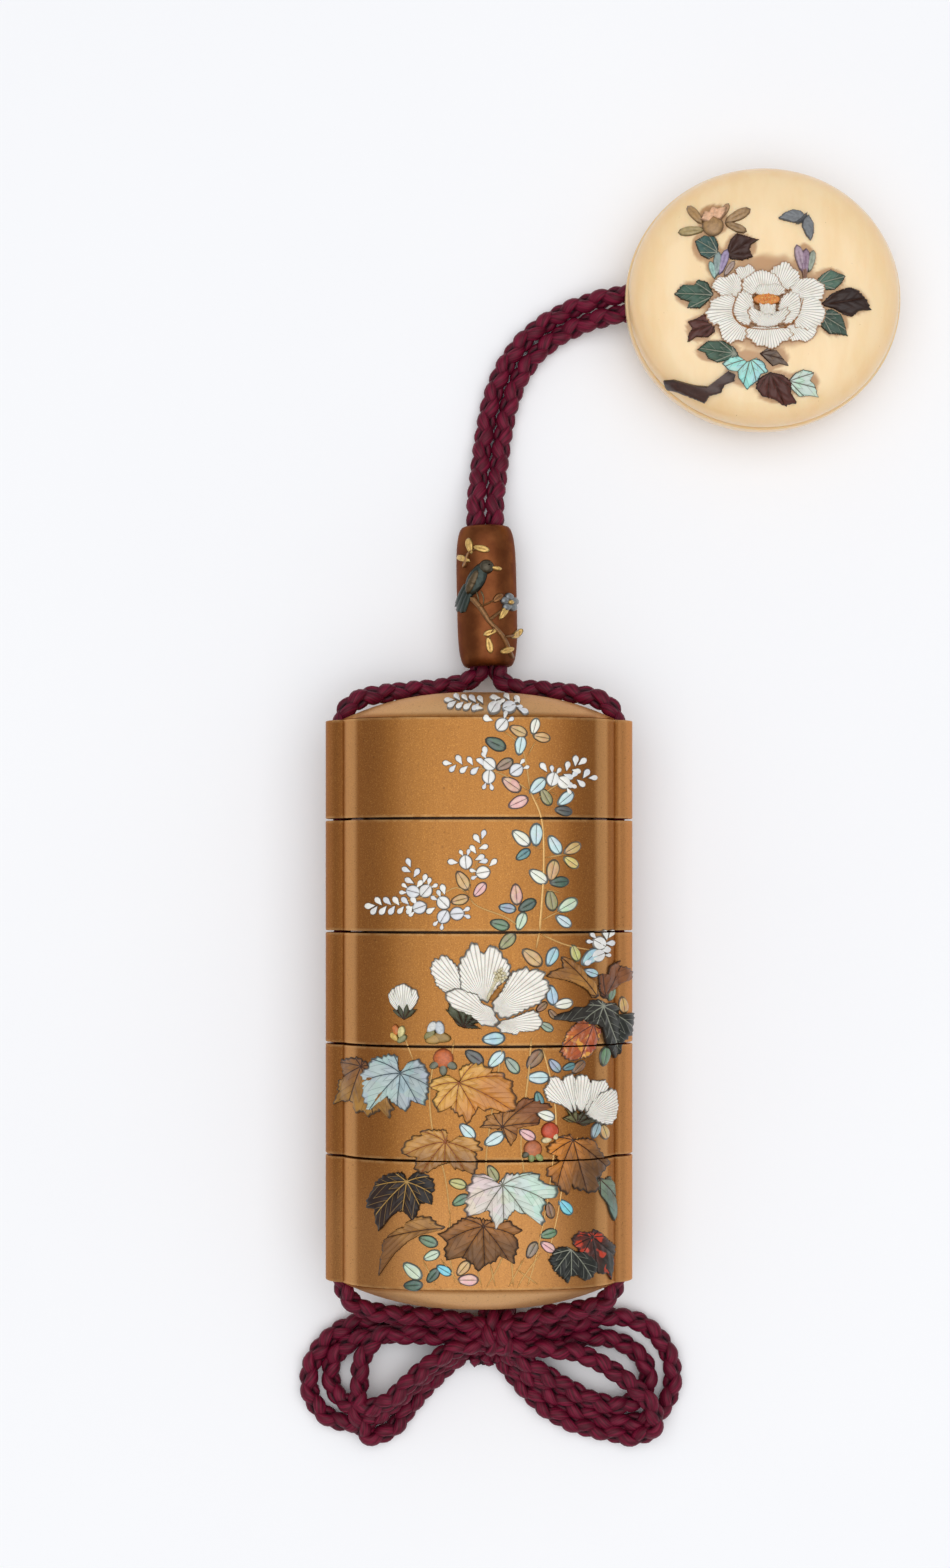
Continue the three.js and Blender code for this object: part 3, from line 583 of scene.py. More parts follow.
def gold_lacquer(name):
    """Gold-dusted lacquer: fine powder, soft drifts of tone, faint scratches and rubbed lips."""
    look = Finish(name, Metallic=0.85, Roughness=0.38, Coat_Weight=0.2, Coat_Roughness=0.2,
                  Specular_Tint=(0.85, 0.55, 0.34, 1))
    drift = look.span(look.noise(0.07, (1, 0.35, 1), detail=4), 0.35, 0.68)
    dust = look.noise(5.5, detail=2, rough=0.8)
    x, y, _ = look.axes(look.place())
    across = look.math("ABSOLUTE", look.math("ADD", x, PAINTED_LIGHT_SHIFT))
    tone = look.blend(look.times(drift, 0.45), tuple(colours().gold), tuple(colours().gold_dark))
    # painted shade on the flanks
    tone = look.over(tone, across, *FLANK_PAINTED_SHADE)
    # painted light towards the base
    tone = look.over(tone, y, *FOOT_PAINTED_LIGHT)
    # painted highlight on both steep shoulders
    shoulder_highlight = look.times(look.span(across, *SHOULDER_HIGHLIGHT_IN), look.span(across, *SHOULDER_HIGHLIGHT_OUT))
    tone = look.blend(look.times(shoulder_highlight, 0.6), tone, "#d6a066")
    # painted light on the right rib
    tone = look.over(tone, x, *RIGHT_RIB_HIGHLIGHT)
    # painted highlight on the domes
    tone = look.over(tone, look.math("ABSOLUTE", y), *CAP_HIGHLIGHTS)
    tone = look.over(tone, dust, 0.52, 0.72, 0.42, "#d39a50")
    tone = look.over(tone, dust, 0.46, 0.3, 0.4, "#67401a")
    tone = look.over(tone, look.noise(1.9, detail=2), 0.66, 0.72, 0.35, "#5b3717")
    worn = look.attribute("mark")
    rubbed = look.times(worn, look.span(look.noise(0.6), 0.35, 0.6, 0.25, 1.0))
    tone = look.blend(look.times(rubbed, 0.4), tone, "#d8b078")
    tone = look.over(tone, worn, -0.2, -0.8, 1, "#3a2413")
    scratch = look.noise(0.9, (6, 0.12, 6), detail=5, rough=0.7)
    grain = look.bump(scratch, 0.05, 0.00006, look.bump(dust, 0.16, 0.00006))
    wave = look.bump(look.noise(0.12, detail=1), 0.1, 0.0006, grain)
    sheen = look.span(scratch, 0.3, 0.7, 0.34, 0.46, smooth=False)
    return look.wear(Base_Color=tone, Roughness=sheen, Normal=wave)


def engraved(name, vein, roughness, mottle, coat, iridescent=0, spots=None):
    """A tinted leaf with its veins cut in, and a darker line round its edge."""
    look = Finish(name, Roughness=roughness, Coat_Weight=coat, Coat_Roughness=0.2, Specular_IOR_Level=0.3)
    x, y, fan = look.axes(look.attribute("local", "Vector"))
    out = look.math("SQRT", look.math("ADD", look.times(x, x), look.times(y, y)))
    turn = look.times(look.math("ARCTAN2", y, x), look.math("MULTIPLY_ADD", out, VEIN_BEND, 1.0))
    lobe = look.math("ROUND", look.math("DIVIDE", turn, fan))
    off = look.math("SUBTRACT", turn, look.times(lobe, fan))
    along = look.times(out, look.math("COSINE", off))
    beside = look.math("ABSOLUTE", look.times(out, look.math("SINE", off)))
    comb = look.math("PINGPONG", look.math("SUBTRACT", along, look.times(beside, 1.25)), 0.65)
    veins = look.math("MAXIMUM", look.span(beside, 0.04, 0.11, 1, 0), look.span(comb, 0.02, 0.08, 0.55, 0))
    rim = look.span(look.attribute("mark"), 0.9, 0.97)
    cloud = look.noise(0.5, detail=4)
    tone = look.over(look.attribute("tint", "Color"), cloud, 0.35, 0.7, mottle, "#6a3c18", "MULTIPLY")
    tone = look.over(tone, look.noise(0.9), 0.55, 0.8, mottle, "#f3d9a4", "SOFT_LIGHT")
    if spots:
        tone = look.over(tone, look.noise(0.75, detail=1), 0.54, 0.62, 0.85, spots)
    if iridescent:
        tone = look.blend(iridescent, tone, look.cells(0.55), "SOFT_LIGHT")
    tone = look.blend(veins, tone, vein)
    tone = look.blend(look.times(rim, 0.85), tone, "#21150c")
    cut = look.bump(look.math("SUBTRACT", 1.0, veins), 0.5, 0.0001)
    return look.wear(Base_Color=tone, Normal=cut)


def white_petal(name, edge):
    """White carved inlay with fine cut lines from the foot of each petal."""
    look = Finish(name, Roughness=0.42, Coat_Weight=0.2, Subsurface_Weight=0.08, Subsurface_Scale=0.0006)
    x, y, _ = look.axes(look.attribute("local", "Vector"))
    comb = look.math("PINGPONG", look.math("ARCTAN2", y, x), 0.046)
    line = look.span(comb, 0.003, 0.017, 1, 0)
    tone = look.over(look.attribute("tint", "Color"), look.noise(0.6, detail=3), 0.4, 0.7, 0.3,
                     "#cfc8ba", "MULTIPLY")
    tone = look.blend(look.times(line, 0.62), tone, "#857d72")
    tone = look.over(tone, look.attribute("mark"), 0.89, 0.96, 0.85, edge)
    return look.wear(Base_Color=tone, Normal=look.bump(look.math("SUBTRACT", 1.0, line), 0.6, 0.0001))


def leaflet_shell(name, play, edge, line):
    """Small inlays of many tints, each with a dark outline and a dark split along its middle."""
    look = Finish(name, Roughness=0.28, Coat_Weight=0.5, Coat_Roughness=0.12)
    y = look.axes(look.attribute("local", "Vector"))[1]
    seam = look.span(look.math("ABSOLUTE", y), 0.03, 0.065, 1, 0)
    rim = look.span(look.attribute("mark"), line, line + 0.12)
    tone = look.blend(play, look.attribute("tint", "Color"), look.cells(1.1), "SOFT_LIGHT")
    tone = look.over(tone, look.noise(1.4), 0.35, 0.7, 0.35, "#ffffff", "SOFT_LIGHT")
    tone = look.blend(look.times(look.math("MAXIMUM", seam, rim), 0.88), tone, edge)
    return look.wear(Base_Color=tone)


def plain_tinted(name, roughness, metallic, rim_dark, grain):
    """Any small raised work that takes its tint as it is, shaded towards its edge."""
    look = Finish(name, Roughness=roughness, Metallic=metallic, Coat_Weight=0.15)
    tone = look.over(look.attribute("tint", "Color"), look.attribute("mark"), 0.75, 1.0, rim_dark, "#1d140c")
    tone = look.over(tone, look.noise(2.2), 0.35, 0.7, grain, "#1d140c", "MULTIPLY")
    return look.wear(Base_Color=tone, Normal=look.bump(look.noise(4.0), 0.25, 0.0001))


def polished_bone(name):
    """Cream material with a faint grain, warmer towards its edge, and specks in its pores."""
    look = Finish(name, Roughness=0.3, Coat_Weight=0.45, Coat_Roughness=0.1,
                  Subsurface_Weight=0.25, Subsurface_Scale=0.003, Subsurface_Radius=(1.0, 0.6, 0.35))
    grain, mark = look.noise(0.35, (1, 0.25, 1), detail=5), look.attribute("mark")
    tone = look.over(tuple(colours().bone), grain, 0.35, 0.7, 0.5, "#efc98f")
    # painted shade: warmer towards the rounded edge, where mark rises
    tone = look.over(tone, mark, 0, 1, 0.35, "#e6b274")
    tone = look.over(tone, mark, 0, -1, 0.8, "#a86f34")
    tone = look.over(tone, look.noise(2.4, detail=1), 0.79, 0.83, 0.7, "#9a6a3a")
    return look.wear(Base_Color=tone, Normal=look.bump(look.noise(0.3), 0.08, 0.0004))


def brown_metal(name):
    """Patinated copper alloy with a soft shine and rubbed patches."""
    look = Finish(name, Metallic=0.85, Roughness=0.4, Coat_Weight=0.1, Coat_Roughness=0.3,
                  Specular_Tint=(0.7, 0.42, 0.24, 1))
    tone = look.over(tuple(colours().bead), look.noise(0.35, detail=5), 0.35, 0.7, 1, "#7a4624")
    tone = look.over(tone, look.noise(3.0, detail=2), 0.6, 0.8, 0.4, "#3c2010")
    return look.wear(Base_Color=tone, Normal=look.bump(look.noise(2.5), 0.12, 0.0001))


def braided_silk(name):
    """Burgundy silk with its threads running along each strand."""
    look = Finish(name, Roughness=0.5, Sheen_Weight=0.02, Sheen_Roughness=0.4,
                  Sheen_Tint=(0.9, 0.2, 0.35, 1), Specular_IOR_Level=0.2)
    thread = look.noise(1.0, vector=look.attribute("local", "Vector"), detail=2, rough=0.6)
    tone = look.over("#4a081c", thread, 0.36, 0.68, 1, tuple(colours().silk))
    # painted shade: darker where a strand dips towards the cord's middle, in the gaps
    tone = look.blend(look.span(look.attribute("mark"), 0.0, 0.85), "#22040e", tone)
    return look.wear(Base_Color=tone, Normal=look.bump(thread, 0.3, 0.0001))


# the function and the settings of every finish; those of engraved are its vein colour, roughness,
# mottling, coat, iridescence and the colour of its spots
FINISHES = {
    "gold_dusted": (gold_lacquer,),
    "white_petal": (white_petal, "#33281c"),
    "peony_petal": (white_petal, "#a8703a"),
    "leaflet_shell": (leaflet_shell, 0.15, "#241a12", 0.75),
    "white_leaflet": (leaflet_shell, 0.05, "#4a3c2c", 0.78),
    "raised_gold": (plain_tinted, 0.35, 0.4, 0.5, 0.1),
    "small_raised": (plain_tinted, 0.35, 0, 0.6, 0.3),
    "chased_metal": (plain_tinted, 0.36, 0.6, 0.6, 0.3),
    "polished_bone": (polished_bone,),
    "brown_metal": (brown_metal,),
    "braided_silk": (braided_silk,),
    "grey_shell": (engraved, "#43525a", 0.3, 0.1, 0.35, 0.12),
    "pale_shell": (engraved, "#6c6a5c", 0.28, 0.05, 0.35, 0.2),
    "amber_horn": (engraved, "#8a4614", 0.25, 0.25, 0.5),
    "brown_horn": (engraved, "#3a1d0c", 0.42, 0.4, 0.12),
    "gold_veined": (engraved, "#b08a4a", 0.4, 0.5, 0.15),
    "pale_veined": (engraved, "#8f9080", 0.4, 0.5, 0.15),
    "mottled_horn": (engraved, "#1c120c", 0.4, 0.6, 0.15, 0, "#c23a1e"),
    "tortoiseshell": (engraved, "#5c2410", 0.22, 0.5, 0.7, 0, "#e0a040"),
}


def made(name):
    """A finish, made the first time that it is asked for."""
    make, *settings = FINISHES[name]
    return bpy.data.materials.get(name) or make(name, *settings)


# ---- The stage ---------------------------------------

EYE = Vector((-0.6, 18.0, 420.0))  # the camera looks straight down from here
LENS = 62.45
LIFT = 0.0612  # shift of the view, in frame heights
FLOOR_HALF = 1.5
ROOM_COLOUR = (0.95, 0.97, 1.0, 1)
ROOM_LIGHT = 0.54


def soft_light(name, at, size, watts):
    """A square lamp that shines straight down."""
    lamp = bpy.data.lights.new(name, "AREA")
    lamp.shape, lamp.size, lamp.energy = "SQUARE", size, watts
    holder = bpy.data.objects.new(name, lamp)
    holder.location = at
    bpy.context.scene.collection.objects.link(holder)


def floor_finish():
    """Nearly white and matt."""
    look = Finish("pale_floor", Roughness=0.9, Specular_IOR_Level=0.1)
    return look.wear(Base_Color=look.blend(look.noise(0.01), "#f4f4f6", "#f8f8f9"))


def make_stage():
    """The camera, the floor, the room's light and both lamps."""
    scene = bpy.context.scene
    camera = bpy.data.objects.new("camera", bpy.data.cameras.new("camera"))
    camera.data.lens, camera.data.sensor_width, camera.data.shift_y = LENS, 36, LIFT
    camera.data.clip_start = 0.01
    camera.location = EYE * MM
    scene.collection.objects.link(camera)
    scene.camera = camera
    bm = bmesh.new()
    bmesh.ops.create_grid(bm, x_segments=2, y_segments=2, size=FLOOR_HALF)
    floor = linked("floor", bm)
    floor.data.materials.append(floor_finish())
    world = bpy.data.worlds.new("studio")
    world.use_nodes = True
    background = world.node_tree.nodes["Background"].inputs
    background[0].default_value, background[1].default_value = ROOM_COLOUR, ROOM_LIGHT
    scene.world = world
    soft_light("overhead", (0.05, -0.05, 0.9), 0.6, 0.65)
    soft_light("canopy", (0.04, -0.02, 1.0), 1.5, 7.7)
    scene.view_settings.view_transform = "Standard"


# ---- The five sections -------------------------------

SECTIONS = ("inro_lid", "inro_case_1", "inro_case_2", "inro_case_3", "inro_base_case")

def oval_reach(turn, a, b):
    """How far an oval of these halves reaches out in this direction."""
    across, along = abs(math.cos(turn) / a), abs(math.sin(turn) / b)
    return (across ** OVAL_POWER + along ** OVAL_POWER) ** (-1 / OVAL_POWER)


def rib_reach(turn, grow):
    """How far the runner's rib reaches out in this direction, or 0 where it doesn't show."""
    a, b = RIB[0] + grow, RIB[1] + grow
    cos, sin = abs(math.cos(turn)), math.sin(turn)
    square, line = cos * cos / a ** 2 + sin * sin / b ** 2, -2 * cos * RIB_X / a ** 2
    under_root = line * line - 4 * square * (RIB_X ** 2 / a ** 2 - 1)
    return (-line + math.sqrt(under_root)) / (2 * square) if under_root >= 0 else 0


HALVINGS = 40  # of the span that the groove is sought in


def groove_turn():
    """The direction of the groove where the rib meets the body."""
    low, high = 0.0, 0.35
    for _ in range(HALVINGS):
        middle = (low + high) / 2
        if rib_reach(middle, 0) > oval_reach(middle, *BODY):
            low = middle
        else:
            high = middle
    return low


def ring_turns(columns):
    """Directions round a section, closer together on the ribs and the shoulders."""
    groove = groove_turn()
    on_rib = columns // 10
    on_body = columns // 2 - on_rib
    start = math.atan((BODY[0] / BODY[1] * math.tan(groove)) ** (OVAL_POWER / 2))
    quarter = [2 * groove * i / on_rib - groove for i in range(on_rib)]
    for i in range(on_body):
        t = mix(start, math.pi - start, i / on_body)
        x = math.copysign(abs(math.cos(t)) ** (2 / OVAL_POWER), math.cos(t)) * BODY[0]
        quarter.append(math.atan2(BODY[1] * math.sin(t) ** (2 / OVAL_POWER), x))
    return quarter + [turn + math.pi for turn in quarter]


def section_rings(kind, low, high):
    """The rings of one section from its underside's middle, round the outside, to its inside's middle.
    Each is (y, half width and depth or None for the outside, scale or growth, mark)."""
    lip = sizes().lip / MM
    inside, rubbed = -1.0, 1.0

    def oval(y, size, scale=1.0, mark=inside):
        return (y, size, scale, mark)

    def outer(y, grow=0.0, mark=0.0):
        return (y, None, grow, mark)

    def dome(y, size, rise, mark, steps=14):
        ks = [math.sin(math.pi / 2 * i / steps) for i in range(steps + 1)]
        return [oval(y + rise * (1 - k ** DOME_POWER), size, k, mark) for k in ks]

    def lower_lip(y):
        return [outer(y, -lip, rubbed), outer(y + 0.3 * lip, -0.3 * lip, rubbed), outer(y + lip, 0, 0.7),
                outer(y + 3 * lip)]

    def upper_lip(y):
        return [(2 * y - ring[0], *ring[1:]) for ring in reversed(lower_lip(y))]

    if kind == "lid":
        rings = dome(RIM_Y - 0.6, SOCKET, 3.0, inside)
        rings += [oval(low + lip, SOCKET), *lower_lip(low), *upper_lip(RIM_Y)]
        outside = dome(RIM_Y, BODY, DOME_RISE, 0.0)[:-1]
        return rings + [oval(RIM_Y + 0.02, BODY, 0.988, 0.6), *reversed(outside)]
    top = high - COLLAR_ABOVE_LIP
    if kind == "base":
        rings = dome(-RIM_Y, BODY, -DOME_RISE, 0.0)[:-1] + [oval(-RIM_Y - 0.02, BODY, 0.988, 0.6)]
        rings += lower_lip(-RIM_Y)
    else:
        under = low + SOCKET_DEPTH
        rings = [oval(under, SOCKET, 0), oval(under, SOCKET, 0.5), oval(under, SOCKET)]
        rings += [oval(low + lip, SOCKET), *lower_lip(low)]
    rings += upper_lip(top)
    rings += [oval(top, COLLAR), oval(high - lip, COLLAR), oval(high, COLLAR, 0.99),
              oval(high, HOLLOW, 1.01), oval(high - lip, HOLLOW)]
    if kind == "base":
        return rings + list(reversed(dome(-RIM_Y + 0.6, HOLLOW, -3.0, inside)))
    floor = low + FLOOR_ABOVE_LIP
    return rings + [oval(floor + 0.4, HOLLOW), oval(floor, HOLLOW, 0.97), oval(floor, HOLLOW, 0.5),
                    oval(floor, HOLLOW, 0)]


def cut_away(piece, bm, name):
    """Cuts the solids of a bmesh, in metres, out of a finished piece. The bmesh is used up."""
    cutter = linked(name, bm)
    taken = piece.modifiers.new(name, "BOOLEAN")
    taken.operation, taken.object, taken.solver = "DIFFERENCE", cutter, "EXACT"
    graph = bpy.context.evaluated_depsgraph_get()
    left = bpy.data.meshes.new_from_object(piece.evaluated_get(graph))
    piece.modifiers.clear()
    piece.data = left
    bpy.data.objects.remove(cutter)


def cut_holes(piece, low, high):
    """Bores the two runner holes right through a section."""
    bm = bmesh.new()
    for side in (-1, 1):
        spot = Matrix.Translation((side * HOLE_X * MM, (low + high) / 2 * MM, AXIS_Z * MM))
        bmesh.ops.create_cone(bm, cap_ends=True, segments=40, radius1=HOLE_RADIUS * MM,
                              radius2=HOLE_RADIUS * MM, depth=(high - low + 4) * MM,
                              matrix=spot @ Matrix.Rotation(math.pi / 2, 4, "X"))
    cut_away(piece, bm, "holes")


def make_sections():
    """The lid, the three cases and the base case, each one closed shell with its holes bored."""
    turns = ring_turns(sizes().columns)
    for node in SECTIONS:
        low, high = box_mm(node)
        rings = section_rings(node.split("_")[1], low.y, high.y)
        bm = new_bmesh()
        mark = bm.verts.layers.float["mark"]

        def place(u, v, corner):
            turn = turns[round(u * len(turns)) % len(turns)]
            y, size, amount, marked = rings[round(v * (len(rings) - 1))]
            if size is None:
                reach = max(oval_reach(turn, BODY[0] + amount, BODY[1] + amount), rib_reach(turn, amount))
            else:
                reach = amount * oval_reach(turn, *size)
            corner[mark] = marked
            return Vector((reach * math.cos(turn), y, AXIS_Z + max(reach * math.sin(turn), -AXIS_Z)))
        patch(bm, len(turns), len(rings) - 1, place)
        name = node.replace("inro_", "lacquer_")
        piece = finish_piece(name, bm, made("gold_dusted"), "gold_lacquer", [node], crease=32)
        cut_holes(piece, low.y, high.y)


# ---- The large leaves --------------------------------

# name, slot, finish, tints and the way they fade, aim, foot, middle, height, outline
LEAVES = (
    ("golden_leaf", "amber_inlay", "brown_horn", ("#8a5a30", "#a87a36", 250), -110, (-17.2, -9.4),
     (-17.2, -12), 0.7, ((-16.4, -8.7), (-18, -8.05), (-19.4, -8.3), (-20.7, -9), (-20.2, -10),
     (-20, -11.1), (-21, -12), (-20.9, -13.4), (-21.7, -15.4), (-20.1, -14.8), (-18.7, -14.7),
     (-18.3, -15.7), (-18.1, -16.5), (-17, -15.9), (-16.3, -16.8), (-15.5, -16.4), (-14.2, -15.6),
     (-13.1, -17.1), (-12.5, -15.3), (-13.4, -13.5), (-16, -9.8))),
    ("grey_shell_leaf", "shell_inlay", "grey_shell", ("#b4c6c4", "#a2b2b4", 0), -96, (-11.4, -10.2),
     (-11.9, -11.4), 1, ((-11.6, -9.9), (-11.9, -8.6), (-11.7, -7.8), (-12.3, -7.35), (-13.6, -7.6),
     (-15, -7.9), (-16, -8.6), (-15.9, -9.1), (-17.1, -10.3), (-17.8, -12), (-17, -12.3), (-17.2, -13.2),
     (-16.9, -14.6), (-16.3, -15.1), (-16.7, -15.8), (-16.1, -16.1), (-15.6, -15.1), (-14.6, -14.8),
     (-13.3, -13.6), (-12.8, -14.4), (-11.9, -15), (-10.7, -15.8), (-10, -14.9), (-9.8, -14.1),
     (-9, -14.6), (-7.8, -15), (-7.5, -13.3), (-7.2, -11.8), (-7.2, -10), (-8, -8.8), (-8.9, -8.1),
     (-10.2, -8.4), (-10.8, -9.4))),
    ("amber_leaf", "amber_inlay", "amber_horn", ("#e0ac50", "#cc8432", -40), -60, (-2.9, -11.5),
     (-1.6, -12.3), 1, ((-2.7, -11.2), (-3, -9.7), (-2.4, -8.9), (-1, -8.6), (0.3, -8.6), (0.9, -9),
     (2.2, -9.3), (1.9, -9.9), (3.5, -10), (4.1, -10.7), (4.9, -11.2), (5.4, -11.9), (4.6, -12.3),
     (5.3, -13.2), (5.8, -14.6), (5.1, -15.7), (3.4, -15.8), (1.8, -15.4), (1, -15.7), (-0.1, -15.2),
     (-0.7, -16.2), (-1.8, -17.5), (-2.4, -16.5), (-3, -16.5), (-3.7, -15.8), (-4.2, -15), (-4.6, -15.5),
     (-6.1, -15.9), (-6.6, -14.8), (-6.6, -13.7), (-6, -12.8), (-7.3, -12.4), (-7.4, -11.7), (-6.6, -11),
     (-5.1, -10.3), (-4.2, -10.4), (-3.3, -11.2))),
    ("small_amber_leaf", "amber_inlay", "amber_horn", ("#d0984a", "#98682e", -90), -92, (-4.9, -20.1),
     (-5, -21.2), 1, ((-4.7, -19.8), (-4.5, -18.8), (-4.9, -18.3), (-6.1, -18.3), (-7.8, -18.3),
     (-8.8, -18.7), (-8.3, -19.1), (-9.6, -19.3), (-10.5, -20), (-11.1, -20.8), (-11.4, -21.9),
     (-10, -22.4), (-9.2, -22.4), (-9.3, -23.3), (-9.4, -23.9), (-8.9, -24.7), (-7.3, -24.6), (-6, -23.7),
     (-4.3, -23.2), (-3.7, -24), (-2, -24.4), (-1, -24.9), (-0.2, -24.1), (-0.2, -22.3), (-0.6, -21.3),
     (0.6, -21.5), (0.1, -20.2), (-1, -19.3), (-2.9, -19.2), (-4.2, -20.1))),
    ("small_brown_leaf", "horn_inlay", "brown_horn", ("#b07a40", "#8a5228", 20), -30, (3.4, -17.9),
     (4.9, -16.9), 0.85, ((0.2, -18), (1.2, -16.2), (3.4, -15.7), (5.1, -15.6), (5.7, -14.1), (6.6, -13.7),
     (7.9, -13.8), (9.6, -14.4), (11, -15.2), (9, -15.5), (8.3, -15.9), (9.1, -17.1), (8.7, -17.7),
     (6.9, -17.9), (5.6, -18.2), (5.5, -19.5), (4.6, -20.8), (3.9, -19.6), (3.2, -18.4))),
    ("autumn_leaf", "amber_inlay", "brown_horn", ("#cf8230", "#6e4a26", -35), -75, (13.6, -20),
     (14, -22.4), 1, ((9.9, -20.7), (9.8, -21.6), (10.5, -22), (11.1, -22.3), (11.5, -23.2), (9.9, -24),
     (9.7, -25), (10.6, -25.9), (10.9, -26.6), (11.7, -27.1), (12.9, -28.1), (13.3, -26.8), (14.4, -27.3),
     (16.8, -28), (17.5, -27.2), (17.1, -26), (18.4, -24.9), (19.2, -23.7), (18.4, -22.9), (17.6, -21.7),
     (16.8, -20.1), (15.3, -19.7), (13.8, -19.9), (13.3, -19.1), (12.1, -19.3), (11.2, -19.7))),
    ("black_leaf", "horn_inlay", "gold_veined", ("#2b160c", "#1c1411", 30), -98, (-10.5, -26),
     (-10.8, -27.6), 1, ((-10.5, -25.7), (-10.9, -24.7), (-12.3, -24.7), (-13.9, -25.2), (-15, -26.2),
     (-15.7, -27.5), (-16.3, -28.7), (-16.4, -30), (-15.3, -30.2), (-15.1, -31.7), (-14.6, -33.4),
     (-13.9, -32.8), (-13, -31.5), (-11.9, -30.5), (-10.9, -30.4), (-10, -31.4), (-9.3, -32.2),
     (-9, -30.5), (-8.4, -29.2), (-7.3, -29), (-6.7, -29.4), (-6.8, -27.9), (-6.3, -26.7), (-6.8, -25.4),
     (-7.7, -24.9), (-9.1, -24.4), (-9.9, -25.1))),
    ("brown_centre_leaf", "horn_inlay", "brown_horn", ("#a56c34", "#76502a", -90), -88, (0.6, -32.4),
     (0.2, -34), 0.9, ((-3, -31.5), (-1.7, -30.9), (-0.1, -31.1), (1.6, -31.5), (3.1, -31.8), (4.4, -31.5),
     (5.3, -32.4), (6.4, -33), (5.3, -33.7), (5.8, -35.2), (5.4, -36.4), (5, -38), (4.3, -37.4),
     (2.9, -36.7), (2.4, -37.5), (0.9, -38.1), (-0.2, -39.1), (-1, -37.9), (-2.5, -36.9), (-3.9, -37.2),
     (-5, -37.5), (-5, -36), (-4.8, -34.6), (-6, -33.5), (-4.6, -32.8))),
    ("pale_shell_leaf", "shell_inlay", "pale_shell", ("#dccabf", "#c5d9cc", 0), -88, (3.4, -26.4),
     (3.8, -27.8), 1.05, ((2.8, -26.1), (1.9, -25.3), (0.9, -24.8), (0.2, -24.6), (-0.9, -25),
     (-1.3, -25.9), (-2.2, -27.1), (-1.5, -27.5), (-2.2, -28.4), (-2, -29.5), (-2, -31), (-1.2, -30.8),
     (0, -30.7), (1.3, -30), (1.5, -30.8), (2, -32.1), (2.4, -33), (3.1, -32), (4.1, -31.4), (5.2, -30.1),
     (6.3, -30.7), (7.6, -30.6), (8.8, -31.2), (9.2, -32.8), (9.6, -31.7), (9, -30.6), (9.7, -29.3),
     (9.6, -28.5), (11, -28.4), (11.5, -27.5), (11, -26.7), (8.8, -25.6), (8.7, -24.8), (7.6, -24.5),
     (5.3, -24.7), (3.9, -24.6), (3.5, -25.3))),
    ("folded_leaf", "horn_inlay", "brown_horn", ("#ad7c40", "#80552a", 230), 222, (-4.6, -32.7),
     (-11, -33.9), 0.9, ((-4.5, -32.7), (-5.9, -32.2), (-6.8, -31.2), (-8.2, -30.9), (-9.1, -31),
     (-10.7, -32), (-10.6, -32.5), (-11.7, -32.8), (-13.2, -33.9), (-14, -34.9), (-14.2, -36.6),
     (-14.5, -38.7), (-14.6, -40.2), (-13.5, -38.3), (-12.2, -36.5), (-10.3, -34.7), (-8.5, -33.7),
     (-6.3, -33.2))),
    ("mottled_leaf", "horn_inlay", "mottled_horn", ("#5a241a", "#2c2a22", -30), -80, (16.4, -34.4),
     (17.1, -36.6), 0.9, ((13.6, -34.2), (14.6, -33.4), (16.1, -33.7), (17, -33.3), (17.9, -33.9),
     (19.2, -35.3), (20.1, -36.2), (20, -37.3), (19.8, -39.1), (19.4, -41.1), (18.8, -40.1), (17.8, -40),
     (16.9, -39.3), (14.2, -35.9), (13.5, -35.1))),
    ("dark_veined_leaf", "horn_inlay", "pale_veined", ("#1c221c", "#22241e", 0), -90, (13.3, -36),
     (13.6, -37.8), 1.15, ((10.9, -36), (10.2, -37.3), (10.3, -38), (11, -39.2), (12.1, -40.1),
     (12.9, -41), (13.3, -40), (14.2, -39.9), (15.4, -40.8), (16.4, -40.6), (16.9, -39.9), (17.3, -38.6),
     (16.8, -37.4), (15.7, -36.3), (14, -36.3), (13, -35.6), (11.6, -35.5))),
    ("slender_leaf", "green_inlay", "brown_horn", ("#7d8c70", "#6d8478", -90), -86, (17.6, -26),
     (18.9, -28), 0.7, ((17.1, -25.7), (17.4, -27), (17.7, -28.2), (18.8, -29.8), (19.4, -31.6),
     (19.9, -32.9), (20.3, -31.7), (20.3, -28.7), (19.9, -26.9), (19.3, -25.7), (18.4, -26))),
    ("upper_brown_leaf", "horn_inlay", "brown_horn", ("#96642c", "#b07c3a", -30), 165, (17.2, 0.9),
     (14.6, 4), 0.9, ((9.8, 4), (10.3, 4.7), (12.1, 5.2), (11.9, 7), (13.2, 6.5), (14.6, 5.6), (15.4, 4.6),
     (15.9, 3.7), (17, 3.1), (17.6, 1.6), (17.6, 0.8), (16.4, 0.6), (16.1, 1.5), (14.9, 2.3), (13.8, 2.9),
     (12.3, 3.4), (10.3, 3.7))),
    ("shoulder_leaf", "horn_inlay", "brown_horn", ("#7d4a2a", "#8a5530", 0), 60, (18.5, 0.9), (19.4, 3.3),
     0.8, ((17.5, 4), (18, 4.2), (18.9, 4.1), (19.2, 5.3), (19.9, 5.7), (21.1, 6.1), (20.7, 5.4),
     (22.3, 4.9), (22.8, 4.2), (22.8, 3.2), (21.2, 2.7), (20.4, 2.1), (19.2, 1.3), (18.7, 0.4), (18, 0.7),
     (17.5, 2.2))),
    ("tortoiseshell_leaf", "amber_inlay", "tortoiseshell", ("#c96a26", "#a4451f", -30), -110, (16.6, -3.2),
     (14.9, -5.4), 0.8, ((15, -2.1), (13.9, -3.1), (12.8, -4.1), (12.2, -5.7), (11.8, -7.1), (12.4, -8.1),
